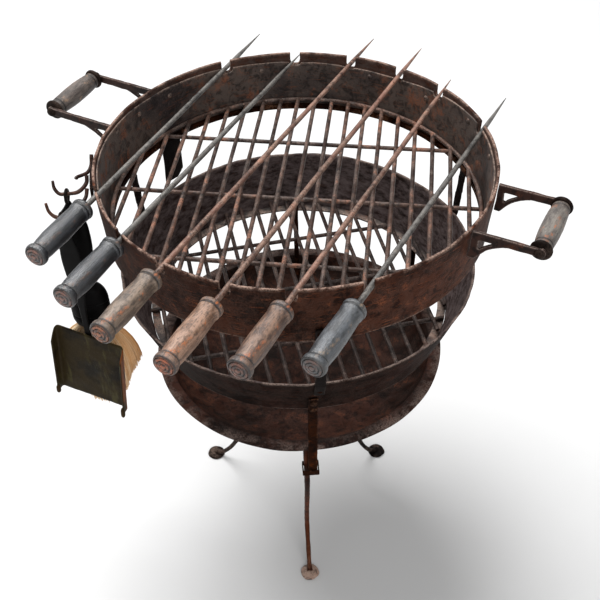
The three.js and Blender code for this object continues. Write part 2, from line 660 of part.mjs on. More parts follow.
buildUpperHoop();
buildFireHoop();
buildAshPan();
buildGrates();
buildStruts();
buildStraps();
buildLegs();
buildCollars();
buildRearHanger();
buildRearTab();
buildHandle('left');
buildHandle('right');
buildRack();
buildShovel();
buildBrush();
SKEWERS.forEach((skewer, i) => buildSkewer(skewer, i + 1));

// The origin goes to the floor under the middle of the bounding box.
const box = new THREE.Box3().setFromObject(grill);
const middle = box.getCenter(new THREE.Vector3());
grill.position.set(-middle.x, -middle.y, -box.min.z);

export default grill;
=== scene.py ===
"""The looks of a round wrought-iron charcoal grill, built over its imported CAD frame.

Blender works in metres, +Z up, in the CAD's own frame. Here most places are given in millimetres: a radius
from the hoops' common axis, an azimuth counted from +X, and a depth under the rim of the upper hoop."""

import math
import random

import bmesh
import bpy
from mathutils import Matrix, Vector, noise


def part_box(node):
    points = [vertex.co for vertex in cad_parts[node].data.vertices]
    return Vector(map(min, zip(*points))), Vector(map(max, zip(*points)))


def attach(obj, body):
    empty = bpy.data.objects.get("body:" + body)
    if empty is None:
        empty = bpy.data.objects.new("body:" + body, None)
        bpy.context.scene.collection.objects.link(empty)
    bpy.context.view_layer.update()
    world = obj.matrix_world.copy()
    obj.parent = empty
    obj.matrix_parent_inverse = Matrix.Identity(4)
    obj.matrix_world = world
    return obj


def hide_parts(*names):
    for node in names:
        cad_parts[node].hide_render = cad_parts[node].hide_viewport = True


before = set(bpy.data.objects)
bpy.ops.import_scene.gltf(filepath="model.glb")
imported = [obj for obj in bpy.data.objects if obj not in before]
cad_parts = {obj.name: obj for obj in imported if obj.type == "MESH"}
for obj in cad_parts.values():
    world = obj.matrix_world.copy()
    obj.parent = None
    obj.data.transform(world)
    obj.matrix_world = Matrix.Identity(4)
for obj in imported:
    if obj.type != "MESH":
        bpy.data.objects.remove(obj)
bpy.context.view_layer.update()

MM = 0.001
UP = Vector((0, 0, 1))

# ---------------------------------------------------------------- places

FIRE_HOOP_LOW, FIRE_HOOP_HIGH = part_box("fire_hoop")
AXIS = Vector(((FIRE_HOOP_LOW.x + FIRE_HOOP_HIGH.x) / 2, (FIRE_HOOP_LOW.y + FIRE_HOOP_HIGH.y) / 2, 0))
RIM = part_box("upper_hoop")[1].z


def spot(radius, azimuth, depth):
    """A point at a radius, an azimuth in degrees and a depth under the rim."""
    angle = math.radians(azimuth)
    return AXIS + Vector((radius * MM * math.cos(angle), radius * MM * math.sin(angle), RIM - depth * MM))


def point(x, y, depth):
    """A point at x and y from the hoops' axis and a depth under the rim."""
    return AXIS + Vector((x * MM, y * MM, RIM - depth * MM))


def blend(low, high, share):
    return low + (high - low) * share


def clamped(value):
    return min(1.0, max(0.0, value))


def between(table, place):
    """The value at a place, from (place, value) pairs in rising order that straight lines join."""
    if place <= table[0][0]:
        return table[0][1]
    for (place_a, value_a), (place_b, value_b) in zip(table, table[1:]):
        if place <= place_b:
            return blend(value_a, value_b, (place - place_a) / (place_b - place_a))
    return table[-1][1]


def unevenness(where, size, seed=0):
    """A smooth pseudo-random number of about -1 to 1 that varies over the given size in metres."""
    return noise.noise(where / size + Vector((seed * 7.31, seed * 3.17, seed * 5.77)))


# ---------------------------------------------------------------- mesh building

class Form:
    """Points, faces and shares of wear that are put together into one mesh."""

    def __init__(self):
        self.points = []
        self.faces = []
        self.wear_and_painted_light = []

    def add(self, points, faces, wear_and_painted_light):
        """Adds a shell. Its wear, from 0 to 1, is one number or one for each point."""
        start = len(self.points)
        self.points.extend(points)
        self.faces.extend([start + i for i in face] for face in faces)
        self.wear_and_painted_light.extend([wear_and_painted_light] * len(points) if isinstance(wear_and_painted_light, float) else wear_and_painted_light)
        return self

    def piece(self, name, material, body, replaced, slot, crease=40, matrix=None):
        """Makes the object, smooth but for edges sharper than the crease, and hands it to its CAD body.

        With a matrix, the points are in a frame of the piece's own, which the material can still read."""
        mesh = bpy.data.meshes.new(name)
        mesh.from_pydata(self.points, [], self.faces)
        worked = bmesh.new()
        worked.from_mesh(mesh)
        bmesh.ops.recalc_face_normals(worked, faces=worked.faces)
        worked.to_mesh(mesh)
        worked.free()
        wear_and_painted_light = mesh.attributes.new("wear_and_painted_light", "FLOAT", "POINT")
        wear_and_painted_light.data.foreach_set("value", self.wear_and_painted_light)
        if matrix:
            local = mesh.attributes.new("local", "FLOAT_VECTOR", "POINT")
            local.data.foreach_set("vector", [value for p in self.points for value in p])
            mesh.transform(matrix)
        return finish_piece(name, mesh, material, body, replaced, crease)


def finish_piece(name, mesh, material, body, replaced, crease):
    mesh.shade_smooth()
    mesh.set_sharp_from_angle(angle=math.radians(crease))
    mesh.materials.clear()
    mesh.materials.append(material)
    piece = bpy.data.objects.new(name, mesh)
    bpy.context.scene.collection.objects.link(piece)
    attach(piece, body)
    if replaced:
        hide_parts(*replaced)
    return piece


def mark(piece, name, values):
    """Gives each point of a piece a number that the material can read."""
    attribute = piece.data.attributes.new(name, "FLOAT", "POINT")
    attribute.data.foreach_set("value", values)


def smooth_line(corners, steps):
    """Points on a Catmull-Rom curve through the corners, with the given steps between each two."""
    ends = [corners[0] * 2 - corners[1], *corners, corners[-1] * 2 - corners[-2]]
    line = []
    for before, start, end, after in zip(ends, ends[1:], ends[2:], ends[3:]):
        for step in range(steps):
            t = step / steps
            line.append(0.5 * (2 * start + (end - before) * t
                               + (2 * before - 5 * start + 4 * end - after) * t ** 2
                               + (3 * start - before - 3 * end + after) * t ** 3))
    line.append(corners[-1])
    return line


def softened(outline, radius, steps=3):
    """An open outline of 2-D points whose corners are rounded over the radius."""
    soft = [outline[0]]
    for before, corner, after in zip(outline, outline[1:], outline[2:]):
        corner, before, after = Vector(corner), Vector(before), Vector(after)
        reach_in = min(radius, (before - corner).length * 0.45)
        reach_out = min(radius, (after - corner).length * 0.45)
        start = corner + (before - corner).normalized() * reach_in
        end = corner + (after - corner).normalized() * reach_out
        for step in range(steps + 1):
            t = step / steps
            soft.append(tuple((1 - t) ** 2 * start + 2 * t * (1 - t) * corner + t ** 2 * end))
    soft.append(outline[-1])
    return soft


def revolved(profile, sides, dents=0.0, seed=0):
    """Points and faces of a profile of (radius, height) pairs in millimetres turned about local Z."""
    points = []
    rings = []
    for radius, height in profile:
        count = 1 if radius == 0 else sides
        rings.append(range(len(points), len(points) + count))
        for i in range(count):
            angle = 2 * math.pi * i / sides
            direction = Vector((math.cos(angle), math.sin(angle), 0))
            where = direction * radius * MM + UP * height * MM
            uneven = dents * MM * unevenness(where, 0.011, seed) if radius else 0
            points.append(where + direction * uneven)
    faces = []
    for low, high in zip(rings, rings[1:]):
        for i in range(sides):
            j = (i + 1) % sides
            corners = [low[i % len(low)], low[j % len(low)], high[j % len(high)], high[i % len(high)]]
            faces.append(list(dict.fromkeys(corners)))  # without the doubled corner of a triangle
    return points, faces


def swept(path, sections, up=UP):
    """Points and faces of a solid along a path.

    Each place on it has its own section, a closed outline of (side, up) pairs in metres."""
    tangents = [(after - before).normalized()
                for before, after in zip([path[0], *path[:-1]], [*path[1:], path[-1]])]
    upward = (up - tangents[0] * up.dot(tangents[0])).normalized()
    points = []
    previous = tangents[0]
    for place, tangent, section in zip(path, tangents, sections):
        upward = previous.rotation_difference(tangent) @ upward
        upward = (upward - tangent * upward.dot(tangent)).normalized()
        side = tangent.cross(upward)
        previous = tangent
        points.extend(place + side * s + upward * u for s, u in section)
    size = len(sections[0])
    faces = [list(range(size))[::-1], list(range(len(points) - size, len(points)))]
    for i in range(len(path) - 1):
        for j in range(size):
            k = (j + 1) % size
            faces.append([i * size + j, i * size + k, (i + 1) * size + k, (i + 1) * size + j])
    return points, faces


def circle(radius, sides):
    """A closed outline for a section, of a radius in millimetres."""
    angles = [2 * math.pi * i / sides for i in range(sides)]
    return [(radius * MM * math.cos(angle), radius * MM * math.sin(angle)) for angle in angles]


def forged_rod(path, radii, sides=12, uneven=0.06, seed=0):
    """A round rod along a path with a radius for each point, its surface left slightly lumpy."""
    lumpy = [radius * (1 + uneven * unevenness(place, 0.012, seed)) for place, radius in zip(path, radii)]
    return swept(path, [circle(radius, sides) for radius in lumpy])


def ring_band(azimuths, section):
    """Points, faces and wear of a band round the axis.

    section(azimuth) gives as many (radius, depth, wear) triples at every azimuth, in a closed loop."""
    points = []
    wear_and_painted_light = []
    for azimuth in azimuths:
        outline = section(azimuth)
        points.extend(spot(radius, azimuth, depth) for radius, depth, _ in outline)
        wear_and_painted_light.extend(share for _, _, share in outline)
    size = len(section(azimuths[0]))
    faces = []
    for i in range(len(azimuths)):
        here, there = i * size, (i + 1) % len(azimuths) * size
        for j in range(size):
            k = (j + 1) % size
            faces.append([here + j, here + k, there + k, there + j])
    return points, faces, wear_and_painted_light


def rivet(form, place, outward, radius, height):
    """Adds a hammered dome standing on a surface."""
    profile = [(radius, -0.8), (radius * 0.98, 0.5), (radius * 0.82, height * 0.6),
               (radius * 0.5, height * 0.9), (0, height)]
    points, faces = revolved(profile, 14, dents=0.5, seed=len(form.points))
    turn = outward.to_track_quat("Z", "Y").to_matrix().to_4x4()
    form.add([Matrix.Translation(place) @ turn @ p for p in points], faces, 0.6)


def forged(node, material, dents, voxel=1.2, size=0.016):
    """A piece of the frame with a CAD node's shape, its edges rounded and its faces hammered uneven."""
    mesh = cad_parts[node].data.copy()
    draft = bpy.data.objects.new(node + "_draft", mesh)
    bpy.context.scene.collection.objects.link(draft)
    remesh = draft.modifiers.new("even", "REMESH")
    remesh.mode = "VOXEL"
    remesh.voxel_size = voxel * MM
    smooth = draft.modifiers.new("soften", "SMOOTH")
    smooth.iterations = 4
    smooth.factor = 0.5
    evaluated = draft.evaluated_get(bpy.context.evaluated_depsgraph_get())
    mesh = bpy.data.meshes.new_from_object(evaluated)
    bpy.data.objects.remove(draft)
    normals = [v.normal.copy() for v in mesh.vertices]
    for vertex, normal in zip(mesh.vertices, normals):
        vertex.co += normal * dents * MM * (unevenness(vertex.co, size) - 0.4)
    wear_and_painted_light = mesh.attributes.new("wear_and_painted_light", "FLOAT", "POINT")
    wear_and_painted_light.data.foreach_set("value", edge_wear(mesh, normals))
    finish_piece(node + "_forged", mesh, material, "frame", [node], crease=60)


def edge_wear(mesh, normals):
    """How much each point stands on an outer edge, from 0 to 1."""
    sums = [0.0] * len(mesh.vertices)
    counts = [0] * len(mesh.vertices)
    for edge in mesh.edges:
        a, b = edge.vertices
        bend = 1 - normals[a].dot(normals[b])
        along = (mesh.vertices[b].co - mesh.vertices[a].co).dot(normals[b] - normals[a])
        for end in (a, b):
            sums[end] += bend if along > 0 else 0
            counts[end] += 1
    return [clamped(6 * total / max(1, count)) for total, count in zip(sums, counts)]


# ---------------------------------------------------------------- materials

def colour(code):
    """A linear colour with alpha from a six-digit sRGB code."""
    channels = [int(code[i:i + 2], 16) / 255 for i in (0, 2, 4)]
    return [c / 12.92 if c <= 0.04045 else ((c + 0.055) / 1.055) ** 2.4 for c in channels] + [1.0]


class Value:
    """A node's output, which can be added to another one or a number, and multiplied by it."""

    def __init__(self, shader, socket):
        self.shader = shader
        self.socket = socket

    def __add__(self, other):
        return self.shader.math("ADD", self, other)

    def __mul__(self, other):
        return self.shader.math("MULTIPLY", self, other)


class Shader:
    """A material's node tree, with short calls for the nodes that are used here."""

    def __init__(self, name):
        self.material = bpy.data.materials.new(name)
        self.material.use_nodes = True
        self.tree = self.material.node_tree
        self.surface = self.tree.nodes["Principled BSDF"].inputs
        self.place = self.node("ShaderNodeTexCoord", "Object")

    def node(self, kind, output, inputs=None, **settings):
        """Makes a node, feeds its inputs and gives one of its outputs."""
        node = self.tree.nodes.new(kind)
        for setting, value in settings.items():
            setattr(node, setting, value)
        for socket, value in (inputs or {}).items():
            self.feed(node.inputs[socket], value)
        return Value(self, node.outputs[output])

    def feed(self, socket, value):
        """Links another node's output to the socket, or sets a number or a colour on it."""
        if isinstance(value, Value):
            self.tree.links.new(value.socket, socket)
        else:
            socket.default_value = value

    def noise(self, scale, detail=5.0, roughness=0.6, distortion=0.0, shift=0.0):
        """Noise over the piece's coordinates. The scale is one number, or one for each axis."""
        inputs = {"Vector": self.place, "Detail": detail, "Roughness": roughness, "Distortion": distortion}
        if isinstance(scale, tuple):
            moved = {"Vector": self.place, "Scale": scale, "Location": (shift, shift * 1.7, shift * 0.6)}
            inputs["Vector"] = self.node("ShaderNodeMapping", "Vector", moved)
            inputs["Scale"] = 1.0
        else:
            inputs["Scale"] = scale
        return self.node("ShaderNodeTexNoise", "Fac", inputs)

    def cells(self, scale):
        return self.node("ShaderNodeTexVoronoi", "Distance", {"Vector": self.place, "Scale": scale})

    def step(self, value, low, high, reverse=False):
        """0 below low and 1 above high, or the other way round, with a smooth rise."""
        inputs = {"Value": value, "From Min": low, "From Max": high, "To Min": float(reverse),
                  "To Max": float(not reverse)}
        return self.node("ShaderNodeMapRange", "Result", inputs, interpolation_type="SMOOTHSTEP")

    def math(self, operation, a, b):
        return self.node("ShaderNodeMath", "Value", {0: a, 1: b}, operation=operation)

    def mix(self, share, a, b):
        """Colour a, turning into colour b as the share rises. Either may be given by its code."""
        a, b = (colour(c) if isinstance(c, str) else c for c in (a, b))
        inputs = {"Factor": share, MIX_COLOUR_A: a, MIX_COLOUR_B: b}
        return self.node("ShaderNodeMix", MIX_COLOUR_OUT, inputs, data_type="RGBA", clamp_factor=True)

    def attribute(self, name, output="Fac"):
        return self.node("ShaderNodeAttribute", output, attribute_name=name)

    def bump(self, height, distance, strength, over=None):
        inputs = {"Height": height, "Distance": distance, "Strength": strength}
        if over:
            inputs["Normal"] = over
        return self.node("ShaderNodeBump", "Normal", inputs)

    def finish(self, base, roughness, normal, metallic=0.0, specular=0.5):
        self.feed(self.surface["Base Color"], base)
        self.feed(self.surface["Specular IOR Level"], specular)
        self.feed(self.surface["Roughness"], roughness)
        self.feed(self.surface["Normal"], normal)
        self.feed(self.surface["Metallic"], metallic)
        return self.material


# The mix node has sockets of the same name for each kind of data, so its colours go by number.
MIX_COLOUR_A, MIX_COLOUR_B, MIX_COLOUR_OUT = 6, 7, 2
SOOT = "0d0908"


def iron(name, codes, rusty, worn, gloss, shine=0.5, streaked=0.0, inner=None):
    """Forged iron: a sooty skin mottled with brown, patches of rust, pits, and edges worn to bare metal.

    The codes are the colours of the darker and the browner skin, of the rust and of the bare metal.
    rusty and worn are the shares, from 0 to 1, of the surface that is rust and of the edges that are bare.
    streaked is the strength, from 0 to 1, of thin level streaks of rust.
    inner is the skin's colour on the points that are marked as inside."""
    dark, brown, rust, bare = codes.split()
    shader = Shader(name)
    broad = shader.noise(9, detail=6)
    patches = shader.noise(38, detail=8, roughness=0.68, distortion=0.4)
    blotches = shader.noise(70, detail=7, roughness=0.7, distortion=0.8)
    grit = shader.noise(420, detail=4, roughness=0.7)
    skin = shader.mix(shader.step(broad, 0.38, 0.62), dark, brown)
    skin = shader.mix(shader.step(grit, 0.48, 0.7) * 0.6, skin, brown)
    skin = shader.mix(shader.step(blotches, 0.46, 0.6) * 0.75, skin, SOOT)
    rusted = shader.step(patches + broad * 0.35, 0.86 - 0.28 * rusty, 0.98 - 0.26 * rusty)
    rusted = rusted * shader.step(grit, 0.36, 0.56)
    skin = shader.mix(rusted * 0.8, skin, rust)
    if streaked:
        lines = shader.noise((45, 45, 420), detail=7, roughness=0.72, shift=2.0)
        lines = shader.step(lines, 0.54, 0.64) * shader.step(blotches, 0.4, 0.56)
        skin = shader.mix(lines * streaked, skin, rust)
    if inner:
        ash = shader.noise((60, 60, 150), detail=8, roughness=0.72, shift=4.0)
        skin = shader.mix(shader.attribute("inside") * shader.step(ash, 0.3, 0.7), skin, inner)
    edge = shader.attribute("wear_and_painted_light") * shader.step(patches, 0.62 - 0.45 * worn, 0.8 - 0.45 * worn)
    edge = edge * shader.step(grit, 0.36, 0.54)
    skin = shader.mix(edge, skin, bare)
    roughness = grit * 0.3 + (shine - 0.1) + rusted * 0.2
    normal = shader.bump(patches * 0.6 + grit * 0.3, distance=0.0018, strength=0.9)
    pits = shader.step(shader.cells(300), 0.0, 0.35)
    normal = shader.bump(pits, distance=0.0004, strength=0.5, over=normal)
    return shader.finish(skin, roughness, normal, edge * 0.3 + 0.05, gloss)


def turned_wood(name, codes, speckle, shine, gloss):
    """Weathered turned wood whose grain runs along local Z, with darker collars, a reddish end face and
    painted shade in its grooves.

    The codes are the colours of the light and the middle wood, of its dark grain, of its spots, of the
    collars and of the end face."""
    light, mid, dark, spots, collar, face = codes.split()
    shader = Shader(name)
    shader.place = shader.attribute("local", "Vector")
    grain = shader.noise((500, 500, 20), detail=7, roughness=0.7)
    mottle = shader.noise((120, 120, 40), detail=7, roughness=0.68, shift=3.0)
    specks = shader.noise(620, detail=5, roughness=0.75)
    fine = shader.noise((330, 330, 190), detail=6, roughness=0.75, shift=5.0)
    patches = shader.noise((90, 90, 55), detail=7, roughness=0.75, shift=9.0)
    burns = shader.noise((170, 170, 170), detail=6, roughness=0.7, shift=7.0)
    skin = shader.mix(shader.step(mottle, 0.38, 0.62), mid, light)
    skin = shader.mix(shader.step(grain, 0.5, 0.66) * 0.4, skin, dark)
    skin = shader.mix(shader.step(fine, 0.52, 0.6) * speckle, skin, dark)
    skin = shader.mix(shader.step(patches, 0.56, 0.66) * 0.8, skin, spots)
    ring = shader.attribute("collar") * shader.step(fine, 0.42, 0.58, reverse=True)
    skin = shader.mix(ring * 0.75, skin, collar)
    end = shader.attribute("end")
    end_grain = shader.mix(shader.step(mottle, 0.4, 0.58), mid, face)
    end_grain = shader.mix(shader.step(burns, 0.5, 0.6) * 0.85, end_grain, dark)
    skin = shader.mix(end, skin, end_grain)
    # Painted shade in the grooves: unbroken round the side, it comes and goes on the end face.
    unbroken = shader.step(burns, 0.36, 0.52) * end + shader.math("SUBTRACT", 1.0, end)
    skin = shader.mix(shader.attribute("wear_and_painted_light") * unbroken * 0.9, skin, dark)
    roughness = grain * 0.3 + (shine - 0.1)
    normal = shader.bump(grain + specks * 0.8, distance=0.0009, strength=0.8)
    return shader.finish(skin, roughness, normal, 0.0, gloss)


def black_sheet():
    """Sheet metal under old black paint: an olive cast, lighter olive streaks of painted sheen on worn paint,
    dull scuffed patches, and rust along the folds.
    """
    shader = Shader("shovel_sheet")
    broad = shader.noise(16, detail=6, roughness=0.65)
    streaks = shader.noise((55, 55, 14), detail=6)
    grit = shader.noise(380, detail=4, roughness=0.7)
    skin = shader.mix(shader.step(broad, 0.42, 0.6), "140f07", "2a2110")
    # Painted sheen: lighter olive streaks where the worn black paint shines.
    skin = shader.mix(shader.step(streaks, 0.5, 0.66) * 0.7, skin, "454024")
    skin = shader.mix(shader.step(grit, 0.58, 0.7) * 0.25, skin, "5d5a4a")
    skin = shader.mix(shader.attribute("wear_and_painted_light") * shader.step(streaks, 0.35, 0.55), skin, "6e3f22")
    normal = shader.bump(streaks + grit * 0.3, distance=0.0012, strength=0.7)
    return shader.finish(skin, broad * 0.3 + 0.3, normal, 0.0, 0.05)


def lacquer():
    """Black lacquer on wood, dusty in places."""
    shader = Shader("black_lacquer")
    dust = shader.noise(45, detail=6, roughness=0.7)
    scratches = shader.noise((260, 260, 40))
    skin = shader.mix(shader.step(dust, 0.5, 0.75) * 0.4, "060505", "191717")
    skin = shader.mix(shader.attribute("wear_and_painted_light") * 0.5, skin, "3a302a")
    roughness = shader.step(dust, 0.4, 0.7) * 0.2 + 0.42
    normal = shader.bump(scratches, distance=0.0004, strength=0.35)
    return shader.finish(skin, roughness, normal, 0.0, 0.05)


def straw():
    """Dry straw: each stalk's lightness varies at random and is lowered by painted shade on the fan's right
    side, and the roots are darker.
    """
    shader = Shader("straw")
    along = shader.noise((500, 500, 30), detail=4)
    skin = shader.mix(shader.attribute("tone_and_shade"), "cf9458", "f2ddb8")
    skin = shader.mix(shader.step(along, 0.5, 0.7) * 0.3, skin, "a87444")
    # Darker towards the roots.
    skin = shader.mix(shader.attribute("wear_and_painted_light") * 0.8, skin, "4a3018")
    normal = shader.bump(along, distance=0.0004, strength=0.5)
    return shader.finish(skin, along * 0.2 + 0.6, normal)


def floor_paint():
    shader = Shader("floor_paint")
    tint = shader.mix(shader.noise(3), "c8c8c8", "cdcdcd")
    return shader.finish(tint, 0.9, shader.bump(shader.noise(200), distance=0.0002, strength=0.1))


HOOP_IRON = iron("hoop_iron", "26150f 42261b 743f26 927a6e", rusty=0.38, worn=0.5, gloss=0.02,
                 streaked=0.65, inner="453a36")
# Darker than the upper hoop's iron, in part as painted shade from the upper hoop above it.
FIRE_HOOP_IRON = iron("fire_hoop_iron", "110a08 231410 4e2918 7c6c64", rusty=0.3, worn=0.55, gloss=0.004,
                      streaked=0.4, inner="5e5352")
INNER_IRON = iron("inner_iron", "262021 50453f 7c4a32 8e7a6e", rusty=0.5, worn=0.5, gloss=0.3, streaked=0.5)
PAN_IRON = iron("pan_iron", "1a0f0b 3a221a 5a3220 62544e", rusty=0.5, worn=0.5, gloss=0.06)
STRAP_IRON = iron("strap_iron", "150a06 2e160a 582c12 6c4e3d", rusty=0.5, worn=0.3, gloss=0.01)
BLACK_IRON = iron("black_iron", "0d0807 1a100c 3c2216 564840", rusty=0.3, worn=0.4, gloss=0.05)
ARM_IRON = iron("arm_iron", "1a100e 38231c 5c3320 a08f86", rusty=0.4, worn=0.7, gloss=0.15)
HOOK_IRON = iron("hook_iron", "190e0a 38211a 6a371c 6e5549", rusty=0.5, worn=0.5, gloss=0.15)
GRATE_IRON = iron("grate_iron", "2a1b15 523a2f a2582c 83746c", rusty=0.56, worn=0.45, shine=0.45, gloss=0.3)
FIRE_GRATE_IRON = iron("fire_grate_iron", "1f1613 3b2b25 5e3823 75665f", rusty=0.4, worn=0.4, gloss=0.2)
LEG_IRON = iron("leg_iron", "1c0e08 542b1a 703a22 6a4a3a", rusty=0.45, worn=0.4, shine=0.45, gloss=0.03)
FOOT_IRON = iron("foot_iron", "9a7f71 b09485 96705c b59c8d", rusty=0.3, worn=0.5, shine=0.5, gloss=0.2)
STEEL_ROD = iron("steel_rod", "353331 595653 6a5040 807b75", rusty=0.3, worn=0.5, shine=0.35, gloss=0.6)
BROWN_ROD = iron("brown_rod", "483026 785548 9a5636 a08474", rusty=0.45, worn=0.5, shine=0.4, gloss=0.45)
SHOVEL_SHEET = black_sheet()
LACQUER = lacquer()
STRAW = straw()

WOOD_LOOKS = {  # the wood's colours, speckle, shine and gloss
    "charred": ("2e3136 141619 040404 5a3c2a 0a0b0e 84503c", 0.55, 0.28, 1.0),
    "spotted": ("7e6c5c 46382e 17120f ac5e2c 382a23 a8643f", 0.6, 0.38, 0.7),
    "tan": ("9a7a66 664936 201917 b4622a 1d2228 ac5c38", 0.65, 0.4, 0.6),
    "pale": ("7c604e 432f25 120f10 a85a2c 161b22 7a4936", 0.6, 0.36, 0.7),
    "slate": ("4a4e53 202327 08090a 7c6650 0e1013 5c382a", 0.6, 0.34, 1.0),
    "grip_left": ("665c56 433b37 191615 927862 2a2624 54483f", 0.5, 0.42, 0.4),
    "grip_right": ("767069 524c49 262120 9a5c38 43362f 54483f", 0.5, 0.42, 0.4),
}
WOODS = {name: turned_wood(name + "_wood", *look) for name, look in WOOD_LOOKS.items()}

# ---------------------------------------------------------------- hoops, ledges and pan

UPPER_HOOP = {"top": (0, 275.0), "bottom": (93, 268.6), "wall": 4.0}
FIRE_HOOP = {"top": (180, 261.0), "bottom": (266, 228.0), "wall": 3.5}
NOTCH_WIDTH = 15
NOTCH_DEPTH = 18
SKEWER_AZIMUTHS = [  # of each skewer's front and back notch
    (-165.0, 112.8), (-144.0, 89.6), (-127.3, 71.0), (-108.4, 53.8), (-91.6, 37.3), (-72.1, 13.9),
]
NOTCH_AZIMUTHS = [azimuth for pair in SKEWER_AZIMUTHS for azimuth in pair]


def apart(azimuth, other):
    """The angle between two azimuths, from -180 to 180 degrees."""
    return (azimuth - other + 180) % 360 - 180


def notch_share(azimuth, radius, width):
    """1 at the bottom of a notch and 0 outside it, with rounded lower corners."""
    offsets = [abs(apart(azimuth, middle)) for middle in NOTCH_AZIMUTHS]
    across = min(offsets) * math.pi / 180 * radius / (width / 2)
    return 0.0 if across >= 1 else 1 - 0.35 * across ** 6


def notched_azimuths(radius, width):
    """A whole number of degrees all the way round, and extra azimuths at the sides of each notch."""
    half = math.degrees(width / 2 / radius)
    chosen = set(range(360))
    for middle in NOTCH_AZIMUTHS:
        for share in (0.5, 0.8, 0.95, 0.999, 1.001):
            chosen.update(round((middle + side * half * share) % 360, 4) for side in (-1, 1))
    return sorted(chosen)


def hoop_radius(hoop, depth):
    """The radius of the outer face of a hoop's wall at a depth."""
    (high, high_radius), (low, low_radius) = hoop["top"], hoop["bottom"]
    return blend(high_radius, low_radius, (depth - high) / (low - high))


def hoop_section(hoop, top, bottom, azimuth, lumps, edge=0.9):
    """A closed outline of (radius, depth, wear) across a hoop's wall, from one depth to another."""
    wall = hoop["wall"]
    rows = [0, 0.04, 0.1, 0.18, 0.28, 0.4, 0.52, 0.64, 0.76, 0.86, 0.93, 0.97, 1]
    depths = [blend(top + edge, bottom - edge, row) for row in rows]

    def surface(depth, inset):
        radius = hoop_radius(hoop, depth)
        shift = lumps * unevenness(spot(radius, azimuth, depth), 0.035)
        shift += lumps * 0.5 * unevenness(spot(radius, azimuth, depth), 0.013, seed=4)
        return radius - inset + shift - lumps * 0.7

    def face(inset, worn, at_edges):
        return [(surface(depth, inset), depth, at_edges if depth in (depths[0], depths[-1]) else worn)
                for depth in depths]

    rim = [(surface(top, wall - edge), top, 1.0), (surface(top, edge), top, 1.0)]
    foot = [(surface(bottom, edge), bottom, 0.9), (surface(bottom, wall - edge), bottom, 0.7)]
    return face(0, 0.06, 0.55) + foot + face(wall, 0.04, 0.5)[::-1] + rim


def mark_inside(piece, hoop):
    """Marks the points on the inner face of a hoop's wall with 1, for its material."""
    values = []
    for vertex in piece.data.vertices:
        middle = hoop_radius(hoop, (RIM - vertex.co.z) / MM) - hoop["wall"] / 2
        values.append(float((vertex.co - AXIS).xy.length / MM < middle))
    mark(piece, "inside", values)


def edge_wave(azimuth, size, amount, seed):
    """How far a hand-cut edge strays from its line, in millimetres."""
    angle = math.radians(azimuth)
    return amount * unevenness(Vector((math.cos(angle), math.sin(angle), 0)), size, seed)


def make_upper_hoop():
    radius = UPPER_HOOP["top"][1]

    def section(azimuth):
        notch = NOTCH_DEPTH * notch_share(azimuth, radius, NOTCH_WIDTH)
        top = 0.8 + edge_wave(azimuth, 0.35, 0.9, seed=1) + edge_wave(azimuth, 0.09, 0.5, seed=2)
        bottom = 92.4 + edge_wave(azimuth, 0.3, 0.8, seed=3)
        return hoop_section(UPPER_HOOP, max(top, notch), bottom, azimuth, lumps=0.7)

    form = Form().add(*ring_band(notched_azimuths(radius, NOTCH_WIDTH), section))
    hoop = form.piece("upper_hoop_hammered", HOOP_IRON, "frame", ["upper_hoop"], "rusted_iron")
    mark_inside(hoop, UPPER_HOOP)


LINER_TOP = [  # how far the liner's top edge lies under the rim, by azimuth from 0 to 360
    (0, 9), (14, 6), (32, 10), (53, 18), (71, 17.5), (91, 15), (122, 10), (143, 8), (176, 5), (200, 12),
    (270, 16), (330, 14), (360, 9),
]
LINER_GAP = 0.35
LINER = {"top": (0, UPPER_HOOP["top"][1] - UPPER_HOOP["wall"] - LINER_GAP),
         "bottom": (93, UPPER_HOOP["bottom"][1] - UPPER_HOOP["wall"] - LINER_GAP), "wall": 2.4}
LINER_RIVETS = [  # azimuth and depth
    (162, 17), (149, 21), (135, 22), (101, 26), (64, 27), (42, 29), (21, 17), (2, 19), (-20, 24), (-55, 26),
    (-100, 26), (-117, 26), (-152, 26),
]


def make_liner():
    radius = 270
    width = NOTCH_WIDTH + 5

    def section(azimuth):
        notch = (NOTCH_DEPTH + 1.5) * notch_share(azimuth, radius, width)
        top = between(LINER_TOP, azimuth) + edge_wave(azimuth, 0.12, 1.1, seed=6)
        return hoop_section(LINER, max(top, notch), 92, azimuth, lumps=0.35, edge=0.6)

    form = Form().add(*ring_band(notched_azimuths(radius, width), section))
    form.piece("liner_hammered", INNER_IRON, "frame", ["liner_hoop"], "dark_iron")


def make_liner_rivets():
    """The heads, inside the liner, of the rivets that hold it to the upper hoop."""
    form = Form()
    for azimuth, depth in LINER_RIVETS:
        place = spot(hoop_radius(LINER, depth) - LINER["wall"], azimuth, depth)
        inward = (AXIS - place) * Vector((1, 1, 0))
        rivet(form, place, inward, radius=4.2, height=2.2)
    form.piece("liner_rivets", INNER_IRON, "frame", [], "dark_iron")


def make_grate_ledge():
    outer = LINER["bottom"][1] - LINER["wall"] - LINER_GAP

    def section(azimuth):
        inner = outer - 5 + edge_wave(azimuth, 0.2, 0.5, seed=8)
        return [(outer, 84.6, 0.2), (outer, 92.6, 0.2), (inner + 1, 92.6, 0.5), (inner, 91.6, 0.8),
                (inner, 85.4, 0.8), (inner + 1, 84.4, 1.0)]

    form = Form().add(*ring_band(range(0, 360, 2), section))
    form.piece("grate_ledge_forged", STRAP_IRON, "frame", ["grate_ledge"], "rusted_iron")


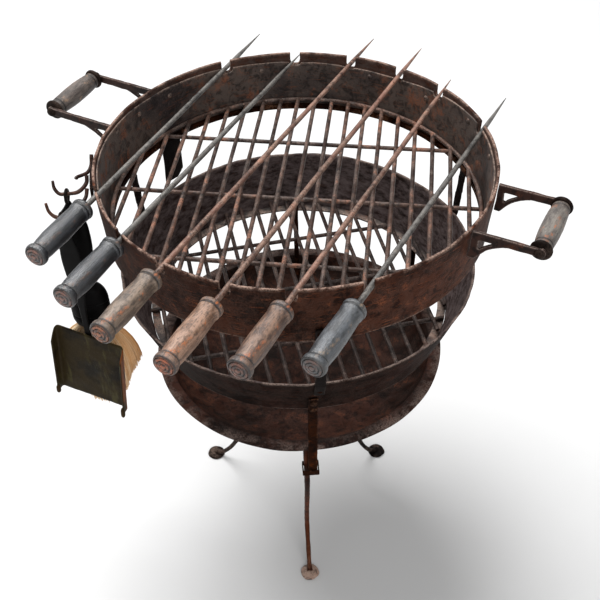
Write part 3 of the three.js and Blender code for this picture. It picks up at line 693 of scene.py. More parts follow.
def make_fire_hoop():
    def section(azimuth):
        top = 180.6 + edge_wave(azimuth, 0.3, 1.4, seed=11) + edge_wave(azimuth, 0.08, 0.6, seed=12)
        bottom = 265.4 + edge_wave(azimuth, 0.3, 0.8, seed=13)
        return hoop_section(FIRE_HOOP, top, bottom, azimuth, lumps=1.0)

    form = Form().add(*ring_band(range(360), section))
    hoop = form.piece("fire_hoop_hammered", FIRE_HOOP_IRON, "frame", ["fire_hoop"], "rusted_iron")
    mark_inside(hoop, FIRE_HOOP)


def make_fire_ledge():
    outer = FIRE_HOOP["bottom"][1] - FIRE_HOOP["wall"] - 0.4

    def section(azimuth):
        inner = 212 + edge_wave(azimuth, 0.15, 0.9, seed=15)
        return [(outer, 262.2, 0.1), (outer, 265.8, 0.1), (inner + 1, 265.8, 0.6), (inner, 265, 0.9),
                (inner, 263, 0.9), (inner + 1, 262.2, 1.0)]

    form = Form().add(*ring_band(range(0, 360, 2), section))
    form.piece("fire_ledge_forged", INNER_IRON, "frame", ["fire_ledge"], "dark_iron")


PAN_INSIDE = [  # (radius, depth) down the inside of the dish to its flat floor
    (207, 358.6), (203, 366), (198, 380), (186, 392), (172, 400.5), (152, 407), (130, 412.5), (70, 416.5),
]
PAN_WALL = 2.4
PAN_LIP = {"inner": 212, "outer": 225, "depth": 358.6}
PAN_SIDES = 180


def pan_dent(radius, azimuth, depth):
    """How far the pan's sheet is beaten down at a place, in millimetres. It fades out at the lip's edge."""
    where = spot(radius, azimuth, depth)
    fade = clamped((PAN_LIP["outer"] - radius) / 12)
    return fade * (2.2 * unevenness(where, 0.075, seed=20) + 0.8 * unevenness(where, 0.028, seed=20))


def make_ash_pan():
    """A spun dish with a flat lip, dented by use."""
    rows = softened(PAN_INSIDE, 8)

    def section(azimuth):
        dented = [(radius, depth + pan_dent(radius, azimuth, depth)) for radius, depth in rows]
        inside = [(radius, depth, 0.12) for radius, depth in dented]
        outside = [(radius + PAN_WALL * 0.6, depth + PAN_WALL, 0.0) for radius, depth in dented]
        inner = PAN_LIP["inner"]
        outer = PAN_LIP["outer"] + edge_wave(azimuth, 0.25, 1.1, seed=21)
        top = PAN_LIP["depth"] + max(-0.4, edge_wave(azimuth, 0.4, 1.2, seed=22))
        lip = [(inner, top - 0.2, 0.35), (outer - 1.2, top, 1.0), (outer, top + 0.8, 1.0),
               (outer, top + 1.8, 0.8), (outer - 1, top + PAN_WALL, 0.3), (inner, top + PAN_WALL, 0.0)]
        return inside[::-1] + lip + outside

    form = Form().add(*ring_band(range(0, 360, 360 // PAN_SIDES), section))
    radius, depth = PAN_INSIDE[-1]
    form.add(*floor_disc(radius, depth), 0.1)
    form.add(*floor_disc(radius + 1.5, depth + PAN_WALL), 0.1)
    form.piece("ash_pan_dented", PAN_IRON, "frame", ["ash_pan"], "dark_iron")


def floor_disc(outer, depth, rings=6, sag=1.5):
    """The middle of the pan's floor: rings of points closed by a middle one."""
    points = []
    faces = []
    for ring in range(rings):
        radius = outer * (1 - ring / rings)
        sink = sag * (1 - (radius / outer) ** 2)
        for i in range(PAN_SIDES):
            azimuth = 360 * i / PAN_SIDES
            points.append(spot(radius, azimuth, depth + sink + pan_dent(radius, azimuth, depth)))
            if ring:
                j = (i + 1) % PAN_SIDES
                before, here = (ring - 1) * PAN_SIDES, ring * PAN_SIDES
                faces.append([before + i, before + j, here + j, here + i])
    points.append(spot(0, 0, depth + sag + pan_dent(0, 0, depth)))
    last = (rings - 1) * PAN_SIDES
    faces.extend([last + i, last + (i + 1) % PAN_SIDES, len(points) - 1] for i in range(PAN_SIDES))
    return points, faces


# ---------------------------------------------------------------- grates

GRATE_ROD = 3.2
COOKING_GRATE = {"turn": -7.3, "pitch": 26.8, "rods": 19, "bars": [-140, 4, 141], "reach": 261,
                 "bar_depth": 80.4, "ring": 257.5}
FIRE_GRATE = {"turn": 11.5, "pitch": 25.8, "rods": 17, "bars": [-102, 12.5, 126], "reach": 225.5,
              "bar_depth": 258.4, "ring": None}


def make_grate(name, grate, material):
    """Parallel rods, none of them quite straight, welded on three cross bars."""
    form = Form()
    turn = Matrix.Rotation(math.radians(grate["turn"]), 3, "Z")
    rod_depth = grate["bar_depth"] - 2 * GRATE_ROD + 1
    dice = random.Random(name)
    across, along = Vector((1, 0, 0)), Vector((0, 1, 0))

    def placed(flat, depth):
        where = AXIS + turn @ (flat * MM)
        return Vector((where.x, where.y, RIM - depth * MM))

    def lay(direction, aside, offset, depth, bow, ring=None, steps=22):
        """Adds a rod at an offset to the side. It ends at the ring, or just inside the hoop."""
        if ring:
            half = math.sqrt(ring ** 2 - offset ** 2)
        else:
            half = math.sqrt(grate["reach"] ** 2 - (abs(offset) + GRATE_ROD) ** 2) - 0.6
        path = []
        for i in range(steps + 1):
            share = 2 * i / steps - 1
            sway = bow * (1 - share ** 2)
            path.append(placed(direction * (share * half) + aside * (offset + sway), depth))
        radii = [GRATE_ROD * (0.93 if i in (0, steps) else 1) for i in range(steps + 1)]
        points, faces = forged_rod(path, radii, sides=10, uneven=0.09, seed=len(form.points) % 97)
        form.add(points, faces, 0.45)

    for i in range(grate["rods"]):
        offset = (i - (grate["rods"] - 1) / 2) * grate["pitch"]
        lay(along, across, offset, rod_depth, dice.uniform(-0.8, 0.8), grate["ring"])
        for bar in grate["bars"]:
            if math.hypot(offset, bar) < grate["reach"] - 8:
                add_weld(form, placed(Vector((offset, bar, 0)), rod_depth + GRATE_ROD), dice)
    for bar in grate["bars"]:
        lay(across, along, bar, grate["bar_depth"], dice.uniform(-1.0, 1.0))
    if grate["ring"]:
        form.add(*hoop_rod(grate["ring"], rod_depth))
    form.piece(name + "_rods", material, name, [name], "worn_iron", crease=50)


def hoop_rod(radius, depth, sides=12):
    """Points, faces and wear of a round rod bent into a hoop."""
    def section(azimuth):
        swell = GRATE_ROD * (0.94 + 0.06 * unevenness(spot(radius, azimuth, 0), 0.02, seed=90))
        return [(radius + side / MM * swell, depth + down / MM * swell, 0.6)
                for side, down in circle(1, sides)]

    return ring_band(range(0, 360, 2), section)


def add_weld(form, place, dice):
    """Adds a small lump of weld metal."""
    radius = dice.uniform(2.6, 3.6)
    profile = [(0, -radius * 0.9), (radius * 0.8, -radius * 0.5), (radius * 1.15, 0),
               (radius * 0.8, radius * 0.5), (0, radius * 0.8)]
    points, faces = revolved(profile, 9, dents=0.9, seed=dice.randint(0, 99))
    form.add([place + p for p in points], faces, 0.0)


# ---------------------------------------------------------------- tie bars, legs and hanging pieces

LEG_AZIMUTHS = {"front": -88.3, "left": 151, "right": 32}
LEG_LINE = [
    (219, 361.5), (219, 415), (205, 470), (168, 560), (139, 640), (134, 680), (144, 708), (158, 732),
    (173, 750), (186, 755),
]
LEG_TOP, LEG_LINE_REACH = LEG_LINE[0][1], LEG_LINE[-1][0]
LEG_RADII = (4.4, 3.7)
LEG_FLARE = {"start": 0.86, "growth": 1.8}  # where the leg widens into its foot, and by how much
FLOOR_DEPTH = 761
FOOT_CLEARANCE = 0.02
FEET = {"front": (177, -86.7), "left": (189, 151.4), "right": (168, 31)}  # radius and azimuth of each foot
FOOT_PROFILE = [(0, 0), (14, 0), (15.6, 1), (15.8, 2.6), (14, 4.4), (8.5, 5.6), (4.8, 6.6), (0, 7)]


def make_legs():
    """Round bars that taper towards flat hammered feet, each bent to its own foot."""
    for side, azimuth in LEG_AZIMUTHS.items():
        reach, foot_azimuth = FEET[side]
        corners = []
        for radius, depth in LEG_LINE:
            share = (depth - LEG_TOP) / (FLOOR_DEPTH - LEG_TOP)
            spread = (reach - LEG_LINE_REACH) * share ** 2
            corners.append(spot(radius + spread, blend(azimuth, foot_azimuth, share), depth))
        line = smooth_line(corners, 8)
        radii = []
        for i in range(len(line)):
            share = i / (len(line) - 1)
            flare = clamped((share - LEG_FLARE["start"]) / (1 - LEG_FLARE["start"])) ** 2
            radii.append(blend(*LEG_RADII, share) + LEG_FLARE["growth"] * flare)
        points, faces = forged_rod(line, radii, sides=14, uneven=0.12, seed=31)
        # Painted light: the share of bare metal grows below 520 mm under the rim, where the leg bends out
        # into the light.
        painted_light_down_leg = [clamped(((RIM - p.z) / MM - 520) / 300) for p in points]
        leg = Form().add(points, faces, painted_light_down_leg)

        middle = spot(reach, foot_azimuth, FLOOR_DEPTH - FOOT_CLEARANCE)
        points, faces = revolved(softened(FOOT_PROFILE, 1.5), 28, dents=1.4, seed=len(side))
        foot = Form().add([middle + p for p in points], faces, 1.0)
        leg_metal, foot_metal = (LEG_IRON, FOOT_IRON) if side == "front" else (BLACK_IRON, BLACK_IRON)
        leg.piece(f"leg_{side}_forged", leg_metal, "frame", [f"leg_{side}"], "worn_iron", crease=60)
        foot.piece(f"foot_{side}_hammered", foot_metal, "frame", [], "worn_iron", crease=60)


STRUT_AZIMUTHS = {"front": -84.3, "left": 156, "right": 21.5}
STRAP_AZIMUTHS = {"front": -85.9, "left": 153.4, "right": 34.4}
STRUT_RIVETS = [(275.2, 78), (257.2, 196)]  # radius and depth of the heads on each strut
STRAP_RIVETS = [(247.6, 232), (235.9, 258)]


def make_tie_bars():
    """The struts between the two hoops and the straps down to the pan, each with its rivets."""
    for side in STRUT_AZIMUTHS:
        forged(f"strut_{side}", BLACK_IRON, dents=0.5)
    for side in STRAP_AZIMUTHS:
        forged(f"strap_{side}", STRAP_IRON, dents=0.6)
        forged(f"collar_{side}", STRAP_IRON, voxel=0.9, dents=0.5)
    form = Form()
    kinds = [(STRUT_AZIMUTHS, STRUT_RIVETS, 5.2), (STRAP_AZIMUTHS, STRAP_RIVETS, 5.0)]
    for azimuths, places, head in kinds:
        for azimuth in azimuths.values():
            outward = spot(1, azimuth, 0) - spot(0, azimuth, 0)
            for radius, depth in places:
                rivet(form, spot(radius, azimuth, depth), outward, head, height=2.6)
    form.piece("tie_bar_rivets", STRAP_IRON, "frame", [], "rusted_iron")


HANGER_LINE = [
    (181, 385), (190, 378), (197, 365), (202, 345), (203, 330), (203, 275), (204, 268), (206.5, 259),
    (213, 256), (221, 257.6),
]
HANGER_AZIMUTH = 90.6
HANGER_RADIUS = 4.0


def make_rear_pieces():
    line = smooth_line([spot(radius, HANGER_AZIMUTH, depth) for radius, depth in HANGER_LINE], 5)
    form = Form().add(*forged_rod(line, [HANGER_RADIUS] * len(line), sides=12, uneven=0.1, seed=40), 0.2)
    form.piece("rear_hanger_forged", STRAP_IRON, "frame", ["rear_hanger"], "dark_iron")
    forged("rear_tab", BLACK_IRON, voxel=1.4, dents=0.9, size=0.04)


# ---------------------------------------------------------------- side handles

HANDLES = {"left": {"azimuth": 151.6, "reach": 373}, "right": {"azimuth": -26.6, "reach": 355.5}}
ARM_SPACING = 106
SPINDLE_DEPTH = 9
SPINDLE_HEAD = [(0, 3.6), (3.5, 3.4), (6, 2), (7.2, 0), (4, 0)]  # radius and height over the arm
GRIP_PROFILE = [
    (4.4, -44), (11, -44), (11.9, -43), (12, -38.5), (11.3, -37.6), (12.2, -36.6), (13.2, -26), (13.9, -12),
    (14, 2), (13.7, 14), (13, 27), (12.2, 36.8), (11.3, 37.7), (12, 38.6), (11.8, 43), (11, 44), (4.4, 44),
]
GRIP_GROOVES = [-37.65, 37.65]
FERRULE_START = 44.35
FERRULE_PROFILE = [
    (4.4, 0), (12.2, 0), (13.8, 0.8), (14.4, 2.2), (14.4, 4.2), (13.6, 5.4), (12.1, 6), (4.4, 6),
]
# The ferrules' names, and the end of local Z that each stands at.
FERRULE_ENDS = {"left": [("front", 1), ("back", -1)], "right": [("back", 1), ("front", -1)]}


def spindle_matrix(handle):
    """Local Z along the handle's spindle, from its middle."""
    azimuth = math.radians(handle["azimuth"])
    outward = Vector((math.cos(azimuth), math.sin(azimuth), 0))
    along = UP.cross(outward)
    place = spot(handle["reach"], handle["azimuth"], SPINDLE_DEPTH)
    turn = Matrix((outward, along.cross(outward), along)).transposed()
    return Matrix.Translation(place) @ turn.to_4x4()


def closed_profile(profile):
    """A profile that comes back to its first point."""
    return [*profile, profile[0]]


def make_handles():
    half = ARM_SPACING / 2 + 2.9
    heads = [(radius, -half - height) for radius, height in SPINDLE_HEAD]
    heads += [(radius, half + height) for radius, height in reversed(SPINDLE_HEAD)]
    for side, handle in HANDLES.items():
        matrix = spindle_matrix(handle)
        for end in ("front", "back"):
            forged(f"handle_{side}_arm_{end}", ARM_IRON, voxel=1.0, dents=0.7)
        form = Form().add(*revolved(heads, 20, dents=0.6, seed=50), 0.3)
        form.piece(f"spindle_{side}_peened", BLACK_IRON, "frame", [f"spindle_{side}"], "dark_iron",
                   matrix=matrix)

        grip = revolved(closed_profile(softened(GRIP_PROFILE, 2.0)), 36, dents=0.35, seed=51)
        add_wooden(grip, f"grip_{side}_turned", WOODS[f"grip_{side}"], f"grip_{side}", f"grip_{side}",
                   "grey_wood", matrix, GRIP_GROOVES)
        for end, sign in FERRULE_ENDS[side]:
            ring = [(radius, sign * (FERRULE_START + height)) for radius, height in FERRULE_PROFILE]
            form = Form().add(*revolved(closed_profile(ring), 32, dents=0.3, seed=52), 0.35)
            ferrule = f"ferrule_{side}_{end}"
            form.piece(ferrule + "_turned", BLACK_IRON, f"grip_{side}", [ferrule], "dark_iron", matrix=matrix)


COLLAR_LENGTH = 10.5
GROOVE_SHADE_REACH = 1.9  # half the height of the band of painted shade at a groove in the side
FACE_GROOVE_SHADE_REACH = 1.3


def add_wooden(shell, name, material, body, node, slot, matrix, grooves, face_height=None):
    """Makes a turned wooden piece, with painted shade marked along its grooves and its end face and collars
    marked for the material.
    """
    points, faces = shell
    heights = [p.z / MM for p in points]
    at_end = [face_height is not None and height > face_height for height in heights]
    # Painted shade: each point gets a share of shade, from 0 to 1, by how near it lies to a groove.
    dark = []
    for place, height, on_face in zip(points, heights, at_end):
        if on_face:
            depth = FACE_GROOVE_SHADE_REACH - min(abs(place.xy.length / MM - groove) for groove in FACE_GROOVES)
        else:
            depth = GROOVE_SHADE_REACH - min(abs(height - groove) for groove in grooves)
        dark.append(clamped(depth))
    form = Form().add(points, faces, dark)
    piece = form.piece(name, material, body, [node], slot, crease=50, matrix=matrix)
    low, high = min(heights) + COLLAR_LENGTH, max(heights) - COLLAR_LENGTH
    mark(piece, "end", [float(on_face) for on_face in at_end])
    mark(piece, "collar", [float(not low < height < high) for height in heights])


# ---------------------------------------------------------------- skewers

# From a handle's fore end to the front notch, and from the back notch to the tip.
SKEWER_REACHES = [(26, 118), (12, 22), (17, 86), (27, 90), (21, 44), (36, 97)]
NOTCH_RADIUS = 273
SKEWER_DEPTH = 13.2
SKEWER_RADII = (3.7, 3.3)
TIP_RADIUS = 0.5
TIP_CLEARANCE = 1  # how far a rod's point stays inside its CAD body
SKEWER_LOOKS = [
    ("charred", STEEL_ROD), ("charred", STEEL_ROD), ("spotted", BROWN_ROD), ("tan", BROWN_ROD),
    ("pale", BROWN_ROD), ("slate", STEEL_ROD),
]

# (radius, distance from the fore end) down the outside of a handle.
HANDLE_SIDE = [
    (0, 0), (9.5, 0), (13.6, 0.5), (15.2, 2.2), (15.5, 4.4), (15.1, 6.8), (14.0, 7.9), (13.5, 8.7),
    (14.0, 9.6), (14.8, 10.8), (14.6, 12.6), (13.7, 14.6), (13.8, 22), (14.5, 38), (15, 56), (14.7, 74),
    (13.9, 88), (13.2, 95), (12.6, 96.4), (13.5, 97.6), (15.0, 98.8), (15.5, 101), (15.5, 104.4),
    (14.9, 106.4), (14.0, 107.2),
]
HANDLE_GROOVES = [0, 8.7, 95.9, 107.0]
# Then in over its turned butt face, which has three grooves.
FACE_GROOVES = [12.3, 8.0, 3.9]
HANDLE_FACE = [
    (14.0, 107.2), (13.0, 108.1), (12.3, 106.8), (11.6, 108.4), (8.7, 108.9), (8.0, 107.9), (7.3, 109.1),
    (4.5, 109.4), (3.9, 108.4), (3.3, 109.5), (0, 109.9),
]
FACE_START = 107.3


def make_skewers():
    skewers = zip(SKEWER_AZIMUTHS, SKEWER_REACHES, SKEWER_LOOKS)
    for number, (azimuths, reaches, (wood, metal)) in enumerate(skewers, 1):
        front, back = (spot(NOTCH_RADIUS, azimuth, SKEWER_DEPTH) for azimuth in azimuths)
        along = (back - front).normalized()
        fore_end = front - along * reaches[0] * MM
        turn = Matrix((along.cross(UP), UP, -along)).transposed().to_4x4()
        dice = random.Random(number)
        swell = dice.uniform(0.985, 1.0)
        side = softened([(radius * swell, height) for radius, height in HANDLE_SIDE], 0.9, steps=2)
        face = softened([(radius * swell, height) for radius, height in HANDLE_FACE], 0.3, steps=2)
        handle = revolved([*side, *face[1:]], 40, dents=0.5, seed=60 + number)
        slot = "charred_wood" if wood == "charred" else "grey_wood"
        add_wooden(handle, f"skewer_{number}_turned_handle", WOODS[wood], f"skewer_{number}",
                   f"skewer_{number}_handle", slot, Matrix.Translation(fore_end) @ turn, HANDLE_GROOVES,
                   face_height=FACE_START)
        make_skewer_rod(number, metal, front, back, reaches, dice)


def make_skewer_rod(number, metal, front, back, reaches, dice, steps=40):
    """A round rod that is a little bent, drawn out to a point."""
    along = (back - front).normalized()
    start = front - along * (reaches[0] - 0.5) * MM
    end = back + along * (reaches[1] - TIP_CLEARANCE) * MM
    length = (end - start).length / MM
    bow = dice.uniform(-0.5, 0.5)
    path = []
    radii = []
    for i in range(steps + 1):
        share = i / steps
        sway = math.sin(math.pi * share) * bow + 0.25 * math.sin(5 * math.pi * share + number)
        path.append(start.lerp(end, share) + along.cross(UP) * sway * MM)
        drawn_out = 0.6 + 0.036 * (1 - share) * length
        radii.append(min(blend(*SKEWER_RADII, share), drawn_out))
    radii[-1] = TIP_RADIUS
    form = Form().add(*forged_rod(path, radii, sides=14, uneven=0.07, seed=number), 0.5)
    skewer = f"skewer_{number}"
    form.piece(skewer + "_forged_rod", metal, skewer, [skewer + "_rod"], "worn_iron", crease=60)


# ---------------------------------------------------------------- tool rack, shovel and brush

BRUSH = {"x": -309, "y": -44, "hook_depth": 28}
SHOVEL = {"x": -310, "y": -90, "hook_depth": 32, "turn": -21.5, "set_back": 3.0}
HOOK_ROD = 2.6
HOOK_GAP = 0.35
HOOK_ROOT = -(275.5 + 4 + HOOK_ROD + HOOK_GAP)  # x, just outside the hoop and its plate
EYE_DROP = 7 - HOOK_ROD - HOOK_GAP

HOOK_LINES = {  # (x, y, depth) along each hook
    "hook_brush": [(HOOK_ROOT, -22, 14), (HOOK_ROOT - 1, -30, 22), (-293, -43, 26), (-309, -44, 28),
                   (-318, -45, 27), (-324, -42, 20), (-325, -39, 10)],
    "hook_shovel": [(HOOK_ROOT + 4.7, -52, 14), (HOOK_ROOT + 2, -63, 23), (-294, -88, 29), (-310, -90, 32),
                    (-319, -88, 31), (-325, -86, 24), (-327, -84, 13)],
    "hook_stay": [(HOOK_ROOT - 0.5, 27, 14), (HOOK_ROOT - 1.5, 18, 26), (HOOK_ROOT - 6, 8, 31),
                  (HOOK_ROOT - 18, 0, 32), (HOOK_ROOT - 19, -8, 28), (HOOK_ROOT - 14, -23, 18)],
}
HOOK_RADII = (2.75, 1.9)


def make_rack():
    forged("hook_plate", BLACK_IRON, voxel=1.0, dents=0.5)
    for node, corners in HOOK_LINES.items():
        line = smooth_line([point(*corner) for corner in corners], 8)
        radii = [blend(*HOOK_RADII, (i / (len(line) - 1)) ** 3) for i in range(len(line))]
        form = Form().add(*forged_rod(line, radii, sides=12, uneven=0.12, seed=70), 0.4)
        form.piece(node + "_bent", HOOK_IRON, "frame", [node], "dark_iron", crease=60)


def eye_ring(tool, radius=9.0, thickness=2.1):
    """Points and faces of the round ring that a tool hangs by, in the plane of Y and Z."""
    middle = point(tool["x"], tool["y"], tool["hook_depth"] + EYE_DROP)
    section = [(radius + side / MM, height / MM) for side, height in circle(thickness, 10)]
    points, faces = revolved(closed_profile(section), 32)
    turn = Matrix.Rotation(math.pi / 2, 4, "Y")
    return [middle + (turn @ p) for p in points], faces


def shovel_point(across, forward, depth):
    """A point on the shovel, across its blade, forwards of its hanging strip's middle and under the rim."""
    turn = Matrix.Rotation(math.radians(SHOVEL["turn"]), 3, "Z")
    turned = turn @ Vector((across, SHOVEL["set_back"] - forward, 0))
    return point(SHOVEL["x"] + turned.x, SHOVEL["y"] + turned.y, depth)


HANDLE_THICKNESS = 4
SHOVEL_HANDLE = [  # (half width, depth) of the shovel's flat handle, from its ring down
    (2.4, 42.5), (4.2, 47), (8.2, 61), (14, 84), (16.2, 104), (16, 122), (13.6, 146), (8.6, 176),
    (5.2, 205), (4.9, 250), (4.9, 291.5),
]
BLADE = {"top": 250, "bottom": 387.5, "half_width": 56.5, "back": 2.35, "front": 18.2, "sheet": 1.9,
         "tilt": 5.5, "shift": -3.5}
BLADE_TIPS = {-1: 2.8, 1: 7.8}  # how far the rolled tips reach below the sheet, left and right
BLADE_TIP_RADII = [0.8, 2.4, 3.2, 3.5, 3.6, 3.6, 3.6, 3.5, 3.1, 2.0]


def rounded_box(width, thickness, corner, sides):
    """A closed outline with rounded corners, in millimetres, as a superellipse."""
    outline = []
    for i in range(sides):
        angle = 2 * math.pi * (i + 0.5) / sides
        c, s = math.cos(angle), math.sin(angle)
        outline.append((math.copysign(abs(c) ** corner, c) * width / 2 * MM,
                        math.copysign(abs(s) ** corner, s) * thickness / 2 * MM))
    return outline


def make_shovel():
    form = Form().add(*eye_ring(SHOVEL), 0.3)
    shape = smooth_line([Vector(values) for values in SHOVEL_HANDLE], 5)
    path = [shovel_point(0, 0.4 * unevenness(Vector((0, 0, depth)), 40), depth) for _, depth in shape]
    sections = [rounded_box(2 * half, min(HANDLE_THICKNESS, 2 * half) - 0.4, corner=0.5, sides=24)
                for half, _ in shape]
    facing = shovel_point(0, 1, 0) - shovel_point(0, 0, 0)
    form.add(*swept(path, sections, up=facing), 0.0)
    form.piece("shovel_handle_forged", LACQUER, "shovel", ["shovel_handle"], "dark_iron")
    make_shovel_blade()
    make_blade_tips()


def blade_point(across, forward, depth):
    """A point on the shovel given as it would be if the blade didn't lean sideways."""
    middle = (BLADE["top"] + BLADE["bottom"]) / 2
    tilt = math.radians(BLADE["tilt"])
    drop = depth - middle
    return shovel_point(across * math.cos(tilt) - drop * math.sin(tilt) + BLADE["shift"], forward,
                        middle + across * math.sin(tilt) + drop * math.cos(tilt))


def divided(outline, spacing):
    """The outline's points, with more between them where they are further apart than the spacing."""
    places = []
    for start, end in zip(outline, outline[1:]):
        steps = max(1, round(math.dist(start, end) / spacing))
        places.extend(tuple(blend(a, b, i / steps) for a, b in zip(start, end)) for i in range(steps))
    return [*places, outline[-1]]


def make_shovel_blade():
    """A sheet with both sides folded forwards, the folds cut away at the top."""
    half, back, front = BLADE["half_width"], BLADE["back"] + BLADE["sheet"] / 2, BLADE["front"]
    fold = softened([(-half, front), (-half, back), (half, back), (half, front)], 5.5, steps=6)
    columns = divided(fold, 3.5)
    corner_width = 9
    cut_away = 22
    rows = 40
    points = []
    wear_and_painted_light = []
    for row in range(rows + 1):
        for across, forward in columns:
            folded = max(0, (forward - back) / (front - back))
            near_corner = max(0, (abs(across) - half + corner_width) / corner_width) ** 2
            top = BLADE["top"] + cut_away * folded ** 1.4 + 3 * near_corner
            depth = blend(top, BLADE["bottom"], row / rows)
            flat = Vector((across, 0, depth))
            dent = 0.9 * unevenness(flat, 34, seed=80) + 0.4 * unevenness(flat, 11, seed=81)
            bowl = 0.6 * math.cos(math.pi / 2 * across / half)
            points.append(blade_point(across, forward + (dent + bowl) * (1 - folded), depth))
            on_right_fold = across > half - corner_width and 0.1 < folded < 0.85
            wear_and_painted_light.append(float(on_right_fold))
    size = len(columns)
    faces = [[r * size + c, r * size + c + 1, (r + 1) * size + c + 1, (r + 1) * size + c]
             for r in range(rows) for c in range(size - 1)]
    form = Form().add(points, faces, wear_and_painted_light)
    blade = form.piece("shovel_blade_folded", SHOVEL_SHEET, "shovel", ["shovel_blade"], "black_sheet",
                       crease=70)
    solidify = blade.modifiers.new("sheet", "SOLIDIFY")
    solidify.thickness = BLADE["sheet"] * MM
    solidify.offset = 0


def make_blade_tips():
    """The bottom ends of the blade's folds, rolled into tapering bars."""
    form = Form()
    last = len(BLADE_TIP_RADII) - 1
    for side, reach in BLADE_TIPS.items():
        across = side * (BLADE["half_width"] - 0.8)
        start, end = (blade_point(across, BLADE["front"] - 0.6, BLADE["bottom"] + drop)
                      for drop in (-14, reach))
        line = [start.lerp(end, i / last) for i in range(last + 1)]
        form.add(*forged_rod(line, BLADE_TIP_RADII, sides=12, seed=82), 0.1)
    form.piece("shovel_rolled_tips", SHOVEL_SHEET, "shovel", [], "black_sheet", crease=60)


# (left half width, right half width, half thickness, depth) of the brush's lopsided handle, downwards.
BRUSH_HANDLE = [
    (3.0, 3.0, 3.0, 41), (4.5, 4.5, 4, 45), (8.5, 7.5, 5, 52), (17, 14, 6.3, 64), (23, 19.3, 7, 79),
    (25.8, 20.8, 7, 98), (26.6, 20.8, 7, 118), (25.2, 19.2, 7, 136), (22.4, 16.8, 6.8, 152),
    (16.5, 13.8, 6.6, 174), (12, 12, 6.6, 189),
]
BRUSH_HEAD = [  # (half width, distance from the handle) down the head
    (0, 0.4), (12.5, 0.4), (15.5, 2), (22, 6.5), (26, 13), (28.6, 22), (29.2, 30), (28.4, 31), (28.4, 33),
    (29.3, 34), (29.4, 54), (28.6, 55), (28.6, 57), (29.3, 58), (29, 66), (26, 75), (21.5, 79), (0, 79.4),
]
BRUSH_HEAD_TOP = 190
BRUSH_FLATNESS = 0.62
BRISTLE_ROOT = {"depth": 268, "half_width": 20, "half_thickness": 11}
BRISTLE_BULGE = {"drop": 19, "half_width": 57}  # of the outermost stalks, which start almost sideways
BRISTLE_TIPS = [  # (how far out in the fan, half width at the tip, depth of the tip)
    (0, 0, 436), (0.35, 22, 432), (0.55, 35, 410), (0.75, 46, 377), (0.9, 59, 357), (1, 64.5, 345),
]
BRISTLE_TIP_HALF_THICKNESS = 15
STALKS = 2600
STALK_TAPER = [1, 1, 1, 0.95, 0.8, 0.45]
# How much darker each ring of a stalk's points is, darkest at the root.
STALK_DARKENING = [0.8, 0.25, 0.0, 0.0, 0.0, 0.0]
STALK_SIDES = 4


def brush_section(left, right, half_thickness, sides=28):
    """A closed outline that is rounder than a box, with its own half width on each side."""
    outline = rounded_box(2, 2 * half_thickness, corner=0.75, sides=sides)
    return [(across * (right if across > 0 else left), upward) for across, upward in outline]


def make_brush():
    form = Form().add(*eye_ring(BRUSH), 0.3)
    widths = smooth_line([Vector(row[:3]) for row in BRUSH_HANDLE], 6)
    depths = smooth_line([Vector((row[3], 0)) for row in BRUSH_HANDLE], 6)
    path = [point(BRUSH["x"], BRUSH["y"], depth.x) for depth in depths]
    sections = [brush_section(*values) for values in widths]
    form.add(*swept(path, sections, up=Vector((0, 1, 0))), 0.0)
    form.piece("brush_handle_lacquered", LACQUER, "brush", ["brush_handle"], "black_lacquer")

    head = softened([(radius, -height) for radius, height in BRUSH_HEAD], 2.0, steps=2)
    points, faces = revolved(head, 40)
    place = Matrix.Translation(point(BRUSH["x"], BRUSH["y"], BRUSH_HEAD_TOP))
    place = place @ Matrix.Diagonal((1, BRUSH_FLATNESS, 1, 1))
    form = Form().add([place @ p for p in points], faces, 0.0)
    form.piece("brush_head_lacquered", LACQUER, "brush", ["brush_head"], "black_lacquer")
    make_bristles()


def stalk_line(dice, spread, thick):
    """Points down a stalk at a place in the fan, from -1 to 1 across it (spread) and through it (thick)."""
    widths = [(out, width) for out, width, _ in BRISTLE_TIPS]
    depths = [(out, depth) for out, _, depth in BRISTLE_TIPS]
    out = abs(spread)
    side = math.copysign(1, spread)
    tip_across = side * max(0, between(widths, out) + dice.uniform(-3, 0))
    tip_depth = between(depths, out) - dice.uniform(0, 9)
    root_across, root_depth = BRISTLE_ROOT["half_width"] * spread, BRISTLE_ROOT["depth"]
    bulge_across = blend((root_across + tip_across) / 2, side * BRISTLE_BULGE["half_width"], out ** 2.2)
    bulge_depth = blend((root_depth + tip_depth) / 2, root_depth + BRISTLE_BULGE["drop"], out ** 2.2)
    root_forward = BRISTLE_ROOT["half_thickness"] * thick
    tip_forward = BRISTLE_TIP_HALF_THICKNESS * thick
    root = point(BRUSH["x"] + root_across, BRUSH["y"] + root_forward, root_depth)
    bulge = point(BRUSH["x"] + bulge_across, BRUSH["y"] + tip_forward, bulge_depth)
    tip = point(BRUSH["x"] + tip_across, BRUSH["y"] + tip_forward + dice.uniform(-1, 1), tip_depth)
    return [(1 - t) ** 2 * root + 2 * t * (1 - t) * bulge + t ** 2 * tip
            for t in (0, 0.2, 0.4, 0.6, 0.8, 1)]


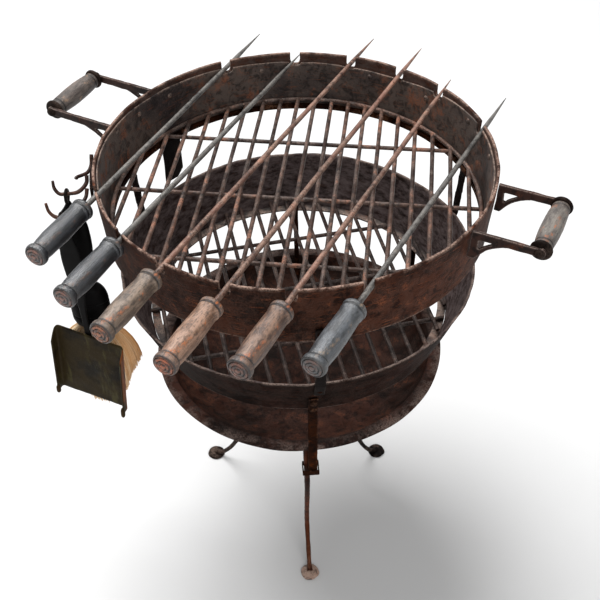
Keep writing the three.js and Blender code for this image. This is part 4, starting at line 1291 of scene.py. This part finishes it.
def make_bristles():
    """A fan of single stalks, whose outer ones end higher than the middle ones, with painted shade on its
    right side.
    """
    dice = random.Random(5)
    form = Form()
    tones_and_shade = []
    for _ in range(STALKS):
        angle = dice.uniform(0, 2 * math.pi)
        share = dice.random() ** 0.42
        spread = share * math.cos(angle)
        path = stalk_line(dice, spread, share * math.sin(angle))
        radius = dice.uniform(0.6, 1.1)
        points, faces = swept(path, [circle(radius * taper, STALK_SIDES) for taper in STALK_TAPER])
        form.add(points, faces, [wear_and_painted_light for wear_and_painted_light in STALK_DARKENING for _ in range(STALK_SIDES)])
        # Painted shade over a browner outer layer: stalks further to the fan's right are made darker.
        tone_and_shade = dice.gauss(0.6, 0.2) - 0.45 * max(0, spread) ** 2
        tones_and_shade.extend([clamped(tone_and_shade)] * len(points))
    bristles = form.piece("brush_straw", STRAW, "brush", ["brush_bristles"], "straw", crease=180)
    mark(bristles, "tone_and_shade", tones_and_shade)


# ---------------------------------------------------------------- floor, light and camera

FLOOR_REACH = 20
WORLD_STRENGTH = 0.45
LAMPS = [  # name, place from the floor under the hoops' axis in metres, width in metres, watts
    ("key", (-1.4, 1.7, 5.7), 4.0, 540),
    ("fill", (1.6, -4.6, 3.4), 3.0, 130),
]
AIM_HEIGHT = 0.5


def make_studio():
    """A plain pale floor, a pale surrounding and two soft lamps."""
    mesh = bpy.data.meshes.new("floor")
    corners = [(x * FLOOR_REACH, y * FLOOR_REACH, 0) for x, y in ((-1, -1), (1, -1), (1, 1), (-1, 1))]
    mesh.from_pydata(corners, [], [(0, 1, 2, 3)])
    mesh.materials.append(floor_paint())
    floor = bpy.data.objects.new("floor", mesh)
    bpy.context.scene.collection.objects.link(floor)

    world = bpy.data.worlds.new("studio")
    world.use_nodes = True
    background = world.node_tree.nodes["Background"].inputs
    background["Color"].default_value = (1, 1, 1, 1)
    background["Strength"].default_value = WORLD_STRENGTH
    bpy.context.scene.world = world
    for name, place, size, power in LAMPS:
        lamp = bpy.data.lights.new(name, "AREA")
        lamp.shape = "DISK"
        lamp.size = size
        lamp.energy = power
        holder = bpy.data.objects.new(name, lamp)
        holder.location = AXIS + Vector(place)
        aim = AXIS + UP * AIM_HEIGHT - holder.location
        holder.rotation_euler = aim.to_track_quat("-Z", "Y").to_euler()
        bpy.context.scene.collection.objects.link(holder)


CAMERA = {"place": (0.0021, -1.1257, 1.5436), "pitch": 43.167, "roll": -1.133, "sensor": 36, "lens": 60}


def make_camera():
    """The camera stands in front, above the rim, and looks down, very slightly tilted to one side."""
    pitch = math.radians(CAMERA["pitch"])
    roll = math.radians(CAMERA["roll"])
    forward = Vector((0, math.cos(pitch), -math.sin(pitch)))
    level_up = Vector((0, math.sin(pitch), math.cos(pitch)))
    level_right = Vector((1, 0, 0))
    right = level_right * math.cos(roll) + level_up * math.sin(roll)
    up = level_up * math.cos(roll) - level_right * math.sin(roll)
    data = bpy.data.cameras.new("camera")
    data.sensor_width = CAMERA["sensor"]
    data.lens = CAMERA["lens"]
    data.clip_end = 50
    camera = bpy.data.objects.new("camera", data)
    turn = Matrix((right, up, -forward)).transposed().to_4x4()
    camera.matrix_world = Matrix.Translation(AXIS + Vector(CAMERA["place"])) @ turn
    bpy.context.scene.collection.objects.link(camera)
    bpy.context.scene.camera = camera


# ---------------------------------------------------------------- assembly

make_studio()
make_camera()
make_upper_hoop()
make_liner()
make_liner_rivets()
make_grate_ledge()
make_fire_hoop()
make_fire_ledge()
make_ash_pan()
make_grate("cooking_grate", COOKING_GRATE, GRATE_IRON)
make_grate("fire_grate", FIRE_GRATE, FIRE_GRATE_IRON)
make_legs()
make_tie_bars()
make_rear_pieces()
make_handles()
make_skewers()
make_rack()
make_shovel()
make_brush()
bpy.context.scene.view_settings.view_transform = "Standard"
